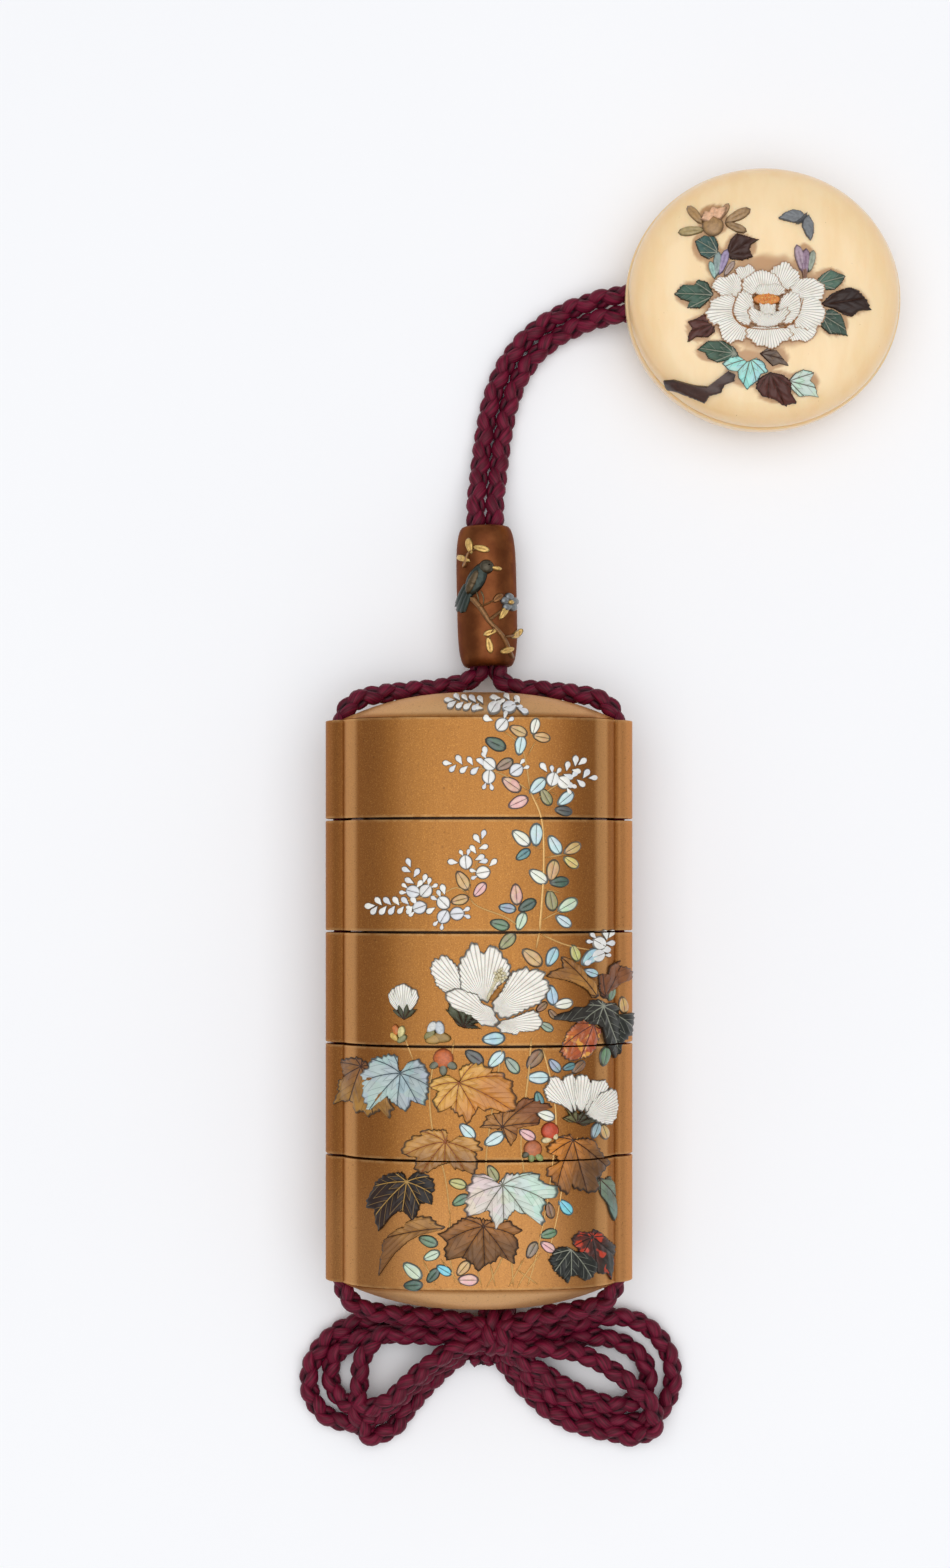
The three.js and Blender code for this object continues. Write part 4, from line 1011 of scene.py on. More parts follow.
     (13.2, -8.5), (14.6, -8.3), (16.1, -7.9), (17, -6.9), (17.7, -5.1), (17.9, -3.8), (16.9, -3.3),
     (15.8, -2.7))),
    ("dark_leaf", "horn_inlay", "pale_veined", ("#2e2a23", "#23261f", -20), -70, (18, -0.6), (18.6, -2.3),
     1.1, ((16.3, 0.4), (17.5, 0.5), (18.7, -0.2), (20.1, -0.2), (20.6, -0.9), (20.7, -2.1), (21.7, -2.4),
     (22.4, -1.8), (22.9, -1.9), (22.9, -4.6), (22.2, -5.3), (21.2, -6.3), (21.1, -7.3), (19.9, -8.6),
     (19.4, -7.7), (18.7, -6.5), (18.3, -5.3), (18, -3.9), (17.4, -3.3), (16.2, -3.2), (15.3, -2.6),
     (13.6, -2.9), (12.6, -2.6), (11.5, -2.5), (10.5, -2.7), (10.8, -2.1), (11.6, -1.4), (13.2, -1.1),
     (13.9, -0.5), (15.1, -0.6), (15.9, -0.4))),
)

HALVED_LEAVES = ("small_amber_leaf", "autumn_leaf", "tortoiseshell_leaf", "dark_leaf")  # a seam divides them
SEAM_HALF = 0.12  # how far from the middle of a seam an inlay ends


def seam_ys():
    """The middle of each seam, from the top."""
    gaps = []
    for upper, lower in zip(SECTIONS, SECTIONS[1:]):
        top = box_mm(lower)[1].y - COLLAR_ABOVE_LIP
        gaps.append((box_mm(upper)[0].y + top) / 2)
    return gaps


def between(bm, low, high):
    """A copy of a bmesh's closed shapes, cut off and closed outside low to high along Y."""
    part = bm.copy()
    for y, square in ((low, -1), (high, 1)):
        everything = part.verts[:] + part.edges[:] + part.faces[:]
        bmesh.ops.bisect_plane(part, geom=everything, dist=1e-5, plane_co=(0, y, 0), plane_no=(0, square, 0),
                               clear_outer=True)
        bmesh.ops.holes_fill(part, edges=[e for e in part.edges if e.is_boundary], sides=0)
    return part


def seam_parts(bm):
    """The parts of a bmesh on each section, with the section's name. The bmesh is used up."""
    seams = seam_ys()
    highs, lows = [100, *(y - SEAM_HALF for y in seams)], [*(y + SEAM_HALF for y in seams), -100]
    for section, low, high in zip(SECTIONS, lows, highs):
        part = between(bm, low, high)
        if part.faces:
            yield section, part
        else:
            part.free()
    bm.free()


def make_leaves():
    """The large leaves; one that lies across seams becomes a piece on each section."""
    height = sizes().inlay / MM
    for i, row in enumerate(LEAVES):
        name, slot, finish, (first, second, way), aim, foot, middle, rise, points = row
        bm = new_bmesh()
        tint = faded((first, second), middle, way, 5.0)
        drawn_leaf(bm, ON_FRONT, points, middle, foot, aim, tint, height * rise, seed=i * 2.3)
        if name not in HALVED_LEAVES:
            finish_piece(name, bm, made(finish), slot, [name])
            continue
        for half, (_, part) in zip(("_upper", "_lower"), seam_parts(bm)):
            finish_piece(name + half, part, made(finish), slot, [name + half])


# ---- The blossoms ------------------------------------

WHITE_TINTS = ("#e2e0da", "#d8d6d2", "#e8e4da", "#d3d4d6")

# foot, middle, height, outline of each petal, the lowest first
HIBISCUS = (
    ((-1, 0.4), (-4.6, 4), 0.85, ((-3.1, 5.4), (-4, 6.4), (-4.6, 6.9), (-5.1, 7.2), (-5.7, 6.9),
     (-5.9, 6.5), (-6.5, 6.6), (-6.8, 6), (-7.1, 5.2), (-7, 4.4), (-6.5, 3.7), (-6.3, 2.7), (-5.6, 2.1),
     (-4.9, 1.5), (-2.8, 1.4), (-2.4, 2.4), (-2.6, 3.8))),
    ((0.8, 0.2), (0.6, 4.4), 1, ((-2.7, 1.5), (-3.05, 5.2), (-2.8, 6.5), (-2.1, 7.2), (-1.7, 8),
     (-1.1, 8.8), (-0.5, 9), (-0.1, 8.6), (0.1, 7.6), (0.55, 7.4), (1.1, 7.8), (1.4, 8.4), (1.9, 8.7),
     (2.4, 8.2), (3.1, 7.9), (3.4, 7), (4, 6.5), (4.6, 5.6), (4.5, 4.4), (4.1, 3.5), (2.9, 2.6),
     (1.3, 0.1), (0, 0.5))),
    ((2.2, -0.8), (5.6, 1.7), 1.15, ((4.1, 3.6), (4.8, 4.7), (5.9, 5), (6.8, 5.4), (7.4, 4.9), (8.6, 5.1),
     (9.6, 4.4), (9.4, 3.7), (10.3, 2.9), (10.1, 1.8), (9.5, 0.8), (8.8, 0), (7.3, -0.7), (4.8, -1.9),
     (3.3, -2.3), (2, -1.2), (1.8, 0.1), (3.2, 1.8))),
    ((3, -2.8), (6, -2.7), 1.1, ((3.1, -2.5), (4.8, -2.1), (7, -1.1), (7.9, -0.9), (8.7, -1.4),
     (8.8, -2.1), (9.3, -2.5), (8.9, -3.5), (8.2, -4), (6.9, -4.1), (5.8, -4.1), (5.4, -4.6), (4.1, -4.3),
     (3.2, -4.2), (2.4, -3.3))),
    ((2.4, -2.4), (-1, -0.4), 1.35, ((-5.1, 1.5), (-4, 2.1), (-2.8, 2.3), (-1.7, 1.8), (-0.2, 1.4),
     (0.4, 0.1), (2.1, -0.7), (2.5, -1.8), (3, -2.5), (2.4, -3.4), (0.4, -3.2), (-0.7, -2.2), (-2.4, -1.3),
     (-3.8, -0.7), (-4.6, 0.3))),
)
SIDE_BLOSSOM = (
    ((13.6, -16.2), (11.6, -12.8), 0.85, ((9.9, -14.2), (9.3, -12.6), (10.1, -11.4), (10.2, -10.7),
     (11.3, -10.6), (12.1, -11.3), (13, -12.6), (13.6, -14.6), (13.6, -16.2), (12.2, -15))),
    ((15.8, -16.6), (17, -13), 0.85, ((15.4, -12.6), (16.4, -11.3), (17.4, -11.5), (18.4, -11.4),
     (18.9, -12.4), (18.2, -14), (15.8, -16.4), (15, -15.2))),
    ((14, -16.4), (13.3, -12.6), 1, ((12, -11.3), (12.4, -10.6), (13.5, -10.3), (14, -11.2), (14.3, -13.5),
     (14, -16.2), (12.8, -13.6))),
    ((14.6, -16.4), (15, -12.8), 1.15, ((13.6, -12), (14, -10.7), (14.7, -10.4), (15.7, -10.7),
     (16.1, -11.7), (16.1, -14), (14.8, -16.2), (13.9, -15))),
    ((15.4, -16.6), (18, -15.4), 1.2, ((16.2, -14.6), (17.4, -13.3), (19.2, -12.7), (20.2, -13.4),
     (20.1, -14.4), (20.4, -15.4), (19.9, -17.3), (19.1, -18.2), (17.7, -17.9), (16.2, -17),
     (15.4, -16.4))),
)
HIBISCUS_CALYX = (
    (-5.1, -0.6), (-4.5, -0.9), (-4.4, 0.2), (-3.7, -0.7), (-3.2, -0.2), (-2.5, -1.1), (-1.3, -0.2),
    (-1.8, -1.4), (-0.6, -1.5), (-0.8, -2.3), (0.6, -2.6), (-0.7, -3), (0.4, -3.7), (-2.2, -3.6),
    (-3.1, -3.2), (-3.9, -2.1),
)
SIDE_CALYX = (
    (12.2, -15), (13.1, -16.3), (12, -16.8), (13, -17.4), (14, -17.5), (15.3, -18.1), (17.2, -17.4),
    (15.6, -16.8), (15.1, -15.8), (14.4, -16.3), (14, -15.6), (13.4, -16.2),
)
BUD_CALYX = (
    (-12.6, -1), (-11.9, -0.9), (-11.6, -0.1), (-11, -0.9), (-10.3, 0.1), (-10, -0.9), (-8.9, -0.8),
    (-9.9, -1.9), (-10.9, -2.4), (-11.8, -1.9),
)


# aim, length, width, height and seed of the bud's three petals
BUD_PETALS = ((110, 4.4, 2.4, 0.8, 0.2), (73, 4.4, 2.4, 0.9, 0.9), (92, 4.9, 2.8, 1.1, 1.7))
SPIRAL_TURN = 2.4  # from one grain of pollen to the next
# x, y, radius, tint
BERRIES = ((-5.2, -8.0, 1.5, "#c8642a"), (10.3, -18.6, 1.3, "#c4451f"), (7.8, -21.2, 1.35, "#bd6a3c"))
# x, y, aim, length, tint
BERRY_SEPALS = (
    (-5.2, -9.5, -90, 1.9, "#6f705c"), (-6.4, -8.9, 210, 1.7, "#6f705c"),
    (-4.1, -8.9, -30, 1.9, "#6f705c"), (10.9, -19.2, -60, 1.5, "#dccb9c"),
    (9.8, -19.9, 190, 1.5, "#dccb9c"), (7.6, -22.2, -90, 1.7, "#7f8a4e"),
    (6.9, -21.9, 215, 1.5, "#4c4a34"), (8.6, -22.3, -40, 1.6, "#8f9a5a"), (-6.9, -3.5, 60, 2, "#dfe0dc"),
    (-5.7, -3.7, 100, 2.3, "#c9ced2"), (-7.2, -4.5, 40, 1.9, "#8a8350"), (-5.4, -4.9, 170, 2.6, "#9a7a3c"),
    (-6.6, -5.2, 10, 2.4, "#b08a45"), (-12.1, -3.9, 100, 1.6, "#c8702e"),
    (-11.3, -4.2, 80, 1.8, "#dccf8e"), (-12.3, -4.9, 130, 1.5, "#d8b35a"),
    (-11.2, -5.2, 40, 1.6, "#8a8a60"),
)


def make_blossoms():
    """The white blossoms and the bud, the pistil, the calyxes and the berries."""
    white = made("white_petal")
    tint = tuple(colours().white)
    height = sizes().inlay / MM
    for name, petals in (("hibiscus_blossom", HIBISCUS), ("side_blossom", SIDE_BLOSSOM)):
        bm = new_bmesh()
        for i, (foot, middle, rise, points) in enumerate(petals):
            drawn_petal(bm, ON_FRONT, points, middle, foot, tint, height * rise, seed=i * 1.9)
        finish_piece(name, bm, white, "white_inlay", [name])

    bm = new_bmesh()
    for aim, length, width, rise, seed in BUD_PETALS:
        petal(bm, ON_FRONT, (-10.9, -2.0), aim, length, width, tint, height * rise, ribs=5, seed=seed,
              spokes=52, rings=10)
    finish_piece("bud_blossom", bm, white, "white_inlay", ["bud_blossom"])

    # the pistil, with its grains of pollen
    bm = new_bmesh()
    cream, shade = srgb("#eadfb9"), srgb("#a8702c")
    ridge(bm, ON_FRONT, [(1.5, 0.5), (2.3, 1.3), (3.1, 2.5)], 0.9, height * 1.25, shade, taper=1.0)
    ridge(bm, ON_FRONT, [(1.1, 0.4), (1.9, 2.2), (2.9, 4.6)], 0.55, height * 1.8, cream, taper=0.9)
    for i in range(14):
        at = on_ring((3.0, 4.1), i * SPIRAL_TURN, 0.24 * i ** 0.5, 0.3 * i ** 0.5)
        knob(bm, ON_FRONT, at, 0.3, cream, height * 1.9, spokes=10)
    finish_piece("hibiscus_pistil", bm, made("small_raised"), "white_inlay")

    horn, shape = made("brown_horn"), {"fan": 34, "rings": 10}  # of the smaller calyxes
    green = faded(("#565a44", "#3a3a2a"), (-3, -2), -90, 2.0)
    olive = faded(("#7d7a50", "#4a4a34"), (14, -17), 0, 2.0)
    bm = new_bmesh()
    drawn_leaf(bm, ON_FRONT, HIBISCUS_CALYX, (-2.4, -2.2), (-2.2, -3.4), 110, green, height * 1.5, fan=34,
               spokes=96, rings=12)
    drawn_leaf(bm, ON_FRONT, BUD_CALYX, (-10.9, -1.4), (-10.9, -2.4), 90, green, height * 1.3, spokes=72,
               **shape)
    finish_piece("upper_calyxes", bm, horn, "green_inlay", ["hibiscus_calyx", "bud_calyx"])
    bm = new_bmesh()
    drawn_leaf(bm, ON_FRONT, SIDE_CALYX, (14.1, -16.9), (14.2, -17.6), 90, olive, height * 1.4, spokes=84,
               **shape)
    finish_piece("side_calyx", bm, horn, "green_inlay", ["side_calyx"])

    # the round orange buds in their sepals, and the two small opening ones
    bm = new_bmesh()
    for x, y, radius, tint in BERRIES:
        knob(bm, ON_FRONT, (x, y), radius, srgb(tint), height * 1.2, spokes=32)
    lay_leaflets(bm, ON_FRONT, BERRY_SEPALS, height, width=0.62, vein=False, spokes=20)
    finish_piece("small_buds", bm, made("small_raised"), "amber_inlay", ["orange_bud", "lower_orange_bud"])


# ---- Leaflets, clover and stems ----------------------

TINTS = {
    "pale": "#dfe0cf", "tan": "#c29a63", "blue": "#9fc0c9", "pale_blue": "#bcd3d3", "green": "#5d7a5c",
    "dark_green": "#3c5547", "grey_brown": "#85705a", "tan_pink": "#cfa08b", "pink": "#dca9a4",
    "olive": "#8d8a5c", "teal": "#4f7b7c", "brown": "#7d5a38", "grey_green": "#8c9d88",
    "dark_grey": "#4d4f4b", "pale_green": "#b9cdb0", "yellow_green": "#b4b06a", "bright_blue": "#6fc3d2",
    "grey_blue": "#8ea3ac",
    "yellow": "#cdb16a", "gold": "#dcb469",
}

# x, y, aim, length, tint
LEAFLETS = (
    (8.1, 40.4, 75, 2.2, "pale"), (5.7, 39.7, -25, 2.5, "tan"), (9.1, 38.8, -10, 2.3, "tan"),
    (6, 37.6, 80, 2.6, "pale_blue"), (2.4, 37.8, -25, 2.9, "dark_green"),
    (3.7, 34.8, 30, 2.5, "grey_brown"), (4.7, 31.9, -35, 2.9, "tan_pink"), (5.7, 29.3, 25, 2.8, "pink"),
    (8.5, 31.7, 45, 2.8, "pale_blue"), (9.7, 30.1, -60, 2.5, "olive"), (12.6, 29.9, 40, 2.6, "pale_blue"),
    (12.3, 28.1, -10, 2.3, "dark_grey"), (6.1, 24.1, -40, 2.9, "pale"), (8.3, 24.6, 88, 3, "pale_blue"),
    (11, 23.1, -60, 2.8, "pale_blue"), (13.6, 22.6, 30, 2.5, "tan"), (13.4, 20.6, -35, 2.3, "yellow"),
    (6.4, 21.7, 35, 2.2, "teal"), (10.7, 19.4, 78, 2.9, "tan"), (8.6, 18.5, -35, 2.8, "pale"),
    (11.7, 17.7, 5, 2.5, "dark_green"), (5.4, 15.9, -85, 2.8, "tan_pink"),
    (4.1, 13.9, -10, 2.3, "grey_blue"), (7, 14.3, 30, 2.6, "dark_green"), (10.5, 15, -80, 2.8, "olive"),
    (12.9, 14.3, 30, 2.9, "pale_green"), (6.1, 12, 70, 2.5, "pale_green"), (3, 11.5, -15, 2.6, "green"),
    (12.3, 12, -35, 2.4, "pale_blue"), (-2.4, 17.9, -60, 2.8, "tan"), (0.1, 16.6, 50, 2.3, "pink"),
    (-2.8, 15.1, 15, 2.4, "tan"), (4.1, 9.1, 45, 2.8, "olive"), (7.7, 6.7, -40, 3.2, "tan"),
    (10.6, 6.8, 65, 2.7, "blue"), (14, 7.3, -70, 2.3, "yellow_green"), (16.3, 6.7, 40, 3, "blue"),
    (16.4, 4.4, -20, 2, "blue"), (10.6, 1.2, -80, 2.7, "blue"), (12.3, -0.1, 10, 2.5, "pale"),
    (9.1, -0.5, 40, 1.8, "brown"), (10.7, -1.6, -50, 1.6, "brown"), (9.8, -3.4, -30, 2, "grey_green"),
    (2.1, -5.1, 5, 3, "blue"), (19.5, 1.2, 75, 2, "green"), (21.4, -0.6, -80, 2.3, "tan"),
    (-0.7, -7.8, -35, 2.8, "dark_grey"), (2.5, -8.1, 45, 2.8, "pale_blue"),
    (4.8, -9, -50, 2.6, "grey_green"), (8.1, -8.1, 50, 3, "brown"), (8.6, -10.8, 0, 2.9, "pale_blue"),
    (11, -9.1, -50, 2.2, "grey_blue"), (13.1, -9.3, 20, 1.8, "teal"), (14.5, -9.4, 45, 2.2, "brown"),
    (18.5, -8, 80, 2.6, "green"), (8.7, -14, -75, 2.2, "teal"), (9.7, -16.3, -20, 2.5, "pale"),
    (-1.7, -18.6, -45, 2.7, "pale_blue"), (2.2, -19.7, 30, 2.9, "pale_blue"), (7, -19.1, -30, 2.4, "pink"),
    (17.1, -18.8, 70, 2.2, "grey_blue"), (18.4, -19.1, -70, 2.2, "tan"), (2, -24.7, -60, 2.4, "olive"),
    (-3.1, -26.2, -15, 2.4, "yellow_green"), (-2.7, -28.6, 30, 2.4, "green"),
    (12.6, -29.8, -50, 2.5, "bright_blue"), (10.3, -30.2, -75, 2.2, "brown"),
    (10.1, -33.6, 15, 2.3, "green"), (10, -35.5, -35, 2.2, "pink"), (7.7, -35.9, 60, 2.4, "grey_brown"),
    (-7.4, -34.6, -20, 2.6, "green"), (-6.9, -36.7, 25, 2.3, "pale_green"),
    (-9.7, -39, -40, 3, "pale_green"), (-9.6, -41.1, 5, 2.5, "dark_green"),
    (-6.7, -39.6, 50, 2.3, "dark_green"), (-5.1, -38.8, -30, 2.2, "bright_blue"),
    (-2.3, -38.5, 50, 2.4, "tan"), (-1.6, -40.2, 0, 2.7, "pink"),
)

# white flowers: x, y and the aim of the two small petals under each
FLOWERS = (
    (3.3, 40.6, 50), (1.45, 34.85, 140), (1.4, 33, -95), (5.4, 34, 35), (10.7, 32.7, 75),
    (12.3, 32.25, -40), (-9.6, 16.3, 165), (-7.75, 16.4, 50), (-5.2, 14.7, 135), (-8.65, 14, 200),
    (-5.15, 12.65, 240), (-3.2, 13.1, 5), (-1.95, 20.6, 95), (0.55, 19.1, 190), (2.2, 43.1, 60),
    (4.4, 43.2, 20), (17.4, 6.9, 20), (17.6, 8.7, 150),
)
# sprays of small petals: foot, tip, number of pairs
SPRAYS = (
    ((0.2, 34.5), (-4.6, 35), 3),
    ((13.1, 32.7), (16.6, 33), 2),
    ((12.6, 33.7), (15, 35.3), 2),
    ((-9.4, 14.3), (-15.9, 14.2), 5),
    ((-9.3, 17.3), (-10.2, 20.5), 2),
    ((-0.5, 21.5), (0.6, 24.6), 2),
    ((0.2, 43.7), (-4.4, 44.3), 4),
    ((5.4, 43.8), (2.4, 44.7), 2),
    ((18, 8), (19.4, 10), 2),
)
# single small petals: x, y, aim
SMALL_PETALS = (
    (1.3, 41.4, 165), (0.85, 36.7, 95), (9.4, 34.4, 130), (-5.2, 16.6, 110), (-7, 13.6, 205),
    (-3.8, 20.6, 175), (0.6, 20.7, 15), (2, 20.5, 45), (-7.9, 18.2, 75), (-0.1, 43, 170), (6.4, 42.6, -25),
    (16, 6, 215),
)

# width, then points
STEMS = (
    (0.55, (8.8, 10.5), (9.4, 19.5), (9.2, 26.2), (8.7, 28.2), (7.4, 30.9)),
    (0.4, (6, 11.1), (4, 12.5), (-0.7, 14.5), (-1.5, 15.8)),
    (0.35, (9.3, 22.4), (7.2, 23.2)),
    (0.35, (9.4, 21.2), (11.6, 21.6), (13, 21.8)),
    (0.35, (9.2, 16.6), (10.6, 16.4), (12.2, 16)),
    (0.35, (8.9, 12), (10.8, 13), (12.2, 13.6)),
    (0.35, (-1.5, 15.8), (-3.2, 16.9), (-5.6, 15.9), (-9, 15.3), (-13.2, 14.3)),
    (0.3, (-1.5, 15.8), (-1.3, 17.9), (-0.4, 20.2), (0.3, 22.6), (0.2, 24.4)),
    (0.3, (-5.6, 15.9), (-7.4, 17.4), (-9.6, 18.6)),
    (0.35, (7.4, 30.9), (5.2, 32.4), (2.2, 33.8), (-2.6, 34.6)),
    (0.35, (7.4, 30.9), (6.9, 34.4), (6, 37.6), (3.4, 39.8)),
    (0.35, (8.2, 29.6), (10.6, 31.4), (14.4, 33.6)),
    (0.3, (7, 36), (8.2, 38.2)),
    (0.3, (10.2, 31), (11.6, 30.2)),
    (0.45, (8.8, 10.5), (8.2, 7.6)),
    (0.35, (8.8, 10.2), (12.4, 8.6), (16.8, 7.6)),
    (0.45, (7.6, -5), (7.2, -10.2), (6.6, -15), (6.1, -20.6), (6.6, -25)),
    (0.4, (9.2, -6.4), (10.4, -11), (11.2, -16.6), (10.8, -22.6), (9.6, -30.6), (8, -38), (7, -41.2)),
    (0.4, (3.4, -6.2), (2.6, -11), (1.6, -17.6), (1, -22.8), (1.2, -26)),
    (0.4, (-3.6, -5.2), (-4.4, -9.8)),
    (0.4, (-6.4, -7), (-7.2, -13.2), (-6.6, -19.4), (-5, -25), (-4.2, -31)),
    (0.35, (-10.9, -4.8), (-9.4, -8.8)),
    (0.35, (14.4, -19.6), (12.6, -24), (11.6, -30), (10, -37)),
    (0.4, (-4.2, -31), (-4.4, -36), (-3.4, -41)),
    (0.35, (3.8, -36), (2.6, -38.6), (1, -41.4)),
    (0.4, (1.6, -37.8), (2.4, -41.4)),
    (0.4, (4.6, -35.8), (5, -41.3)),
    (0.35, (6.6, -37), (4.2, -41.4)),
    (0.35, (-0.4, -38), (0.4, -41.4)),
    (0.35, (5.4, -38.6), (8.6, -41)),
    (0.35, (-8.2, -37.4), (-6.2, -41.2)),
    (0.35, (9, -36.4), (6.2, -40.2), (5.6, -41.4)),
    (0.35, (-5.6, -37.2), (-2.4, -41.2)),
)


def paint(bm, material_index):
    """Gives every face that has none yet this material."""
    for face in bm.faces:
        if not face.tag:
            face.tag, face.material_index = True, material_index


STEM_GOLD = "#e2b26c"
PETAL_OUT = 1.45  # from a clover flower's middle to its side petals
SPRAY_OUT = 0.72  # from a spray's stem to its petals


def make_small_inlays():
    """The stems, the leaflets and the clover, cut at the seams into a piece on each section."""
    rng = random.Random(11)
    height = sizes().leaflet / MM
    bm = new_bmesh()
    for width, *points in STEMS:
        ridge(bm, ON_FRONT, points, width * 0.8, height * 0.7, srgb(STEM_GOLD), taper=0.7, spacing=0.7,
              sides=4)
    paint(bm, 0)
    lay_leaflets(bm, ON_FRONT, LEAFLETS, height, grow=1.08)
    paint(bm, 1)

    def small(x, y, aim, length=1.6):
        leaflet(bm, ON_FRONT, (x, y), aim + rng.uniform(-6, 6), length * rng.uniform(0.92, 1.08),
                srgb(rng.choice(WHITE_TINTS)), height, width=0.52, vein=False, spokes=14, full=0.45)

    for x, y, aim in FLOWERS:
        for way in (aim - 20, aim + 20):
            small(*on_ring((x, y), math.radians(way), PETAL_OUT, PETAL_OUT), way, 1.2)
        leaflet(bm, ON_FRONT, (x, y), aim, 2.1, srgb(rng.choice(WHITE_TINTS)), height * 1.25, width=0.98,
                spokes=28, full=0)
    for (x, y), tip, pairs in SPRAYS:
        run = Vector((tip[0] - x, tip[1] - y))
        aim = math.degrees(math.atan2(run.y, run.x))
        small(*tip, aim)
        for i in range(pairs):
            for side in (-1, 1):
                t = (i + 0.25 * side) / pairs
                stem, turn = (x + t * run.x, y + t * run.y), math.radians(aim + side * 62)
                small(*on_ring(stem, turn, SPRAY_OUT, SPRAY_OUT), aim + side * 50)
    for x, y, aim in SMALL_PETALS:
        small(x, y, aim)
    paint(bm, 2)
    for section, part in seam_parts(bm):
        name = section.replace("inro_", "small_inlays_")
        piece = finish_piece(name, part, made("raised_gold"), "shell_inlay")
        piece.data.materials.append(made("leaflet_shell"))
        piece.data.materials.append(made("white_leaflet"))


# ---- The bead ----------------------------------------

BEAD_LIFT = 0.55  # height of the relief on the bead
# start, end and width of the bird's tail feathers
TAIL = (((-4.3, -2.3), (-2.4, 1.6), 1.0), ((-3.8, -2.6), (-2.0, 1.2), 0.9), ((-4.6, -1.4), (-2.8, 1.8), 0.8))
# width and run of the branch's arms
BRANCH = (
    (0.95, (-2.3, -0.4), (-0.9, -2.2), (0.2, -4), (2.3, -6.5), (3.7, -9.6)),
    (0.6, (0.2, -4), (1.6, -2.9), (3, -1.9)),
    (0.45, (-3.3, 4.2), (-3, 5.2), (-2.5, 6.4), (-1.2, 6.9)),
    (0.45, (2.3, -6.5), (3.6, -6.2), (4.6, -5.8)),
    (0.4, (1, -5), (0.3, -6.4), (0.2, -7.5)),
    (0.4, (-1.2, -1.9), (0.2, -1.4), (1.5, -0.6)),
)
# x, y, aim, length, tint
BRANCH_LEAVES = (
    (-2.4, 7.4, 100, 1.6, "gold"), (-0.7, 6.9, -15, 1.6, "gold"), (2.4, -2.8, 60, 1.5, "gold"),
    (0.4, -5.8, 200, 1.4, "gold"), (0.2, -7.7, -80, 1.6, "gold"), (4.5, -5.8, 40, 1.5, "gold"),
    (-3.4, 5.6, 150, 1.4, "gold"), (2.9, -8.4, 200, 1.4, "gold"),
)
BEAD_FLOWER = (3.3, -1.2)


def make_bead():
    """The bead: a bored metal barrel with a bird and a branch in relief."""
    bm = new_bmesh()
    lower_end = [(BEAD_BORE, 0.35 - BEAD_HALF), (BEAD_BORE + 0.1, 0.06 - BEAD_HALF),
                 (BEAD_BORE + 0.25, -BEAD_HALF)]
    shares = (-0.998, -0.985, *(i / 24 for i in range(-23, 24)), 0.985, 0.998)
    profile = [*lower_end]
    profile += [(bead_reach(BEAD_HALF * t) - 0.12 * (abs(t) > 0.995), BEAD_HALF * t) for t in shares]
    profile += [(reach, -y) for reach, y in reversed(lower_end)]
    spin = Matrix.Rotation(BEAD_TILT, 3, "Z")

    def place(u, v, corner):
        reach, y = profile[round(v * len(profile)) % len(profile)]
        turn = 2 * math.pi * u
        return BEAD + spin @ Vector((reach * math.cos(turn), y, reach * math.sin(turn)))
    patch(bm, 72, len(profile), place)
    finish_piece("ojime_bead", bm, made("brown_metal"), "bead_metal", ["ojime_bead"])

    feather, leg, gold = srgb("#2f3a34"), srgb("#8a7a5a"), srgb(TINTS["gold"])
    lift = BEAD_LIFT
    bm = new_bmesh()
    for start, end, width in TAIL:
        middle = ((start[0] + end[0]) / 2 - 0.1, (start[1] + end[1]) / 2)
        ridge(bm, ON_BEAD, [start, middle, end], width, lift * 0.7, feather, taper=1.2, spacing=0.3)

    def body(x, y, k):
        scale = 0.06 * math.sin(7 * x) * math.sin(9 * y)
        return lift * (1.5 * math.sqrt(max(1 - 0.85 * k * k, 0)) + scale), (x, y, 1)

    def wing(x, y, k):
        return lift * (1.95 - 0.5 * k * k + 0.08 * math.cos(x * 8)), (x, y, 1)
    inlay(bm, ON_BEAD, (-1.5, 2.3), math.radians(62), blade(4.9, 2.7), body, feather, spokes=48, rings=12)
    inlay(bm, ON_BEAD, (-1.9, 1.9), math.radians(66), blade(3.8, 1.2), wing, srgb("#5c4a30"), spokes=32)
    knob(bm, ON_BEAD, (0.0, 4.1), 1.1, srgb("#4c4434"), lift * 1.9)
    knob(bm, ON_BEAD, (0.35, 4.35), 0.17, srgb("#1a1009"), lift * 2.5, spokes=10)
    leaflet(bm, ON_BEAD, (1.35, 3.85), -10, 1.6, gold, lift * 1.5, width=0.42, vein=False)
    ridge(bm, ON_BEAD, [(-0.9, 0.6), (-0.5, -0.6), (-0.6, -1.6)], 0.32, lift * 0.7, leg)
    ridge(bm, ON_BEAD, [(-1.5, 0.4), (-1.3, -0.6), (-1.2, -1.3)], 0.32, lift * 0.7, leg)
    finish_piece("ojime_bird", bm, made("chased_metal"), "relief_metal", ["ojime_bird"])

    bm = new_bmesh()
    for width, *points in BRANCH:
        ridge(bm, ON_BEAD, points, width, lift * 0.9, srgb("#8a6138"), taper=0.6, spacing=0.3)
    lay_leaflets(bm, ON_BEAD, BRANCH_LEAVES, lift * 0.8, grow=1.5, width=0.44)
    leaflet(bm, ON_BEAD, (1.6, -0.6), 40, 1.8, srgb("#8c5c30"), lift * 0.8, width=0.6)
    for i in range(5):
        at = on_ring(BEAD_FLOWER, math.radians(72 * i + 20), 0.75, 0.85)
        knob(bm, ON_BEAD, at, 0.62, srgb("#84888a"), lift * 1.1, spokes=16)
    knob(bm, ON_BEAD, BEAD_FLOWER, 0.4, gold, lift * 1.6, spokes=12)
    finish_piece("ojime_branch", bm, made("chased_metal"), "relief_metal", ["ojime_branch"])


# ---- The netsuke -------------------------------------

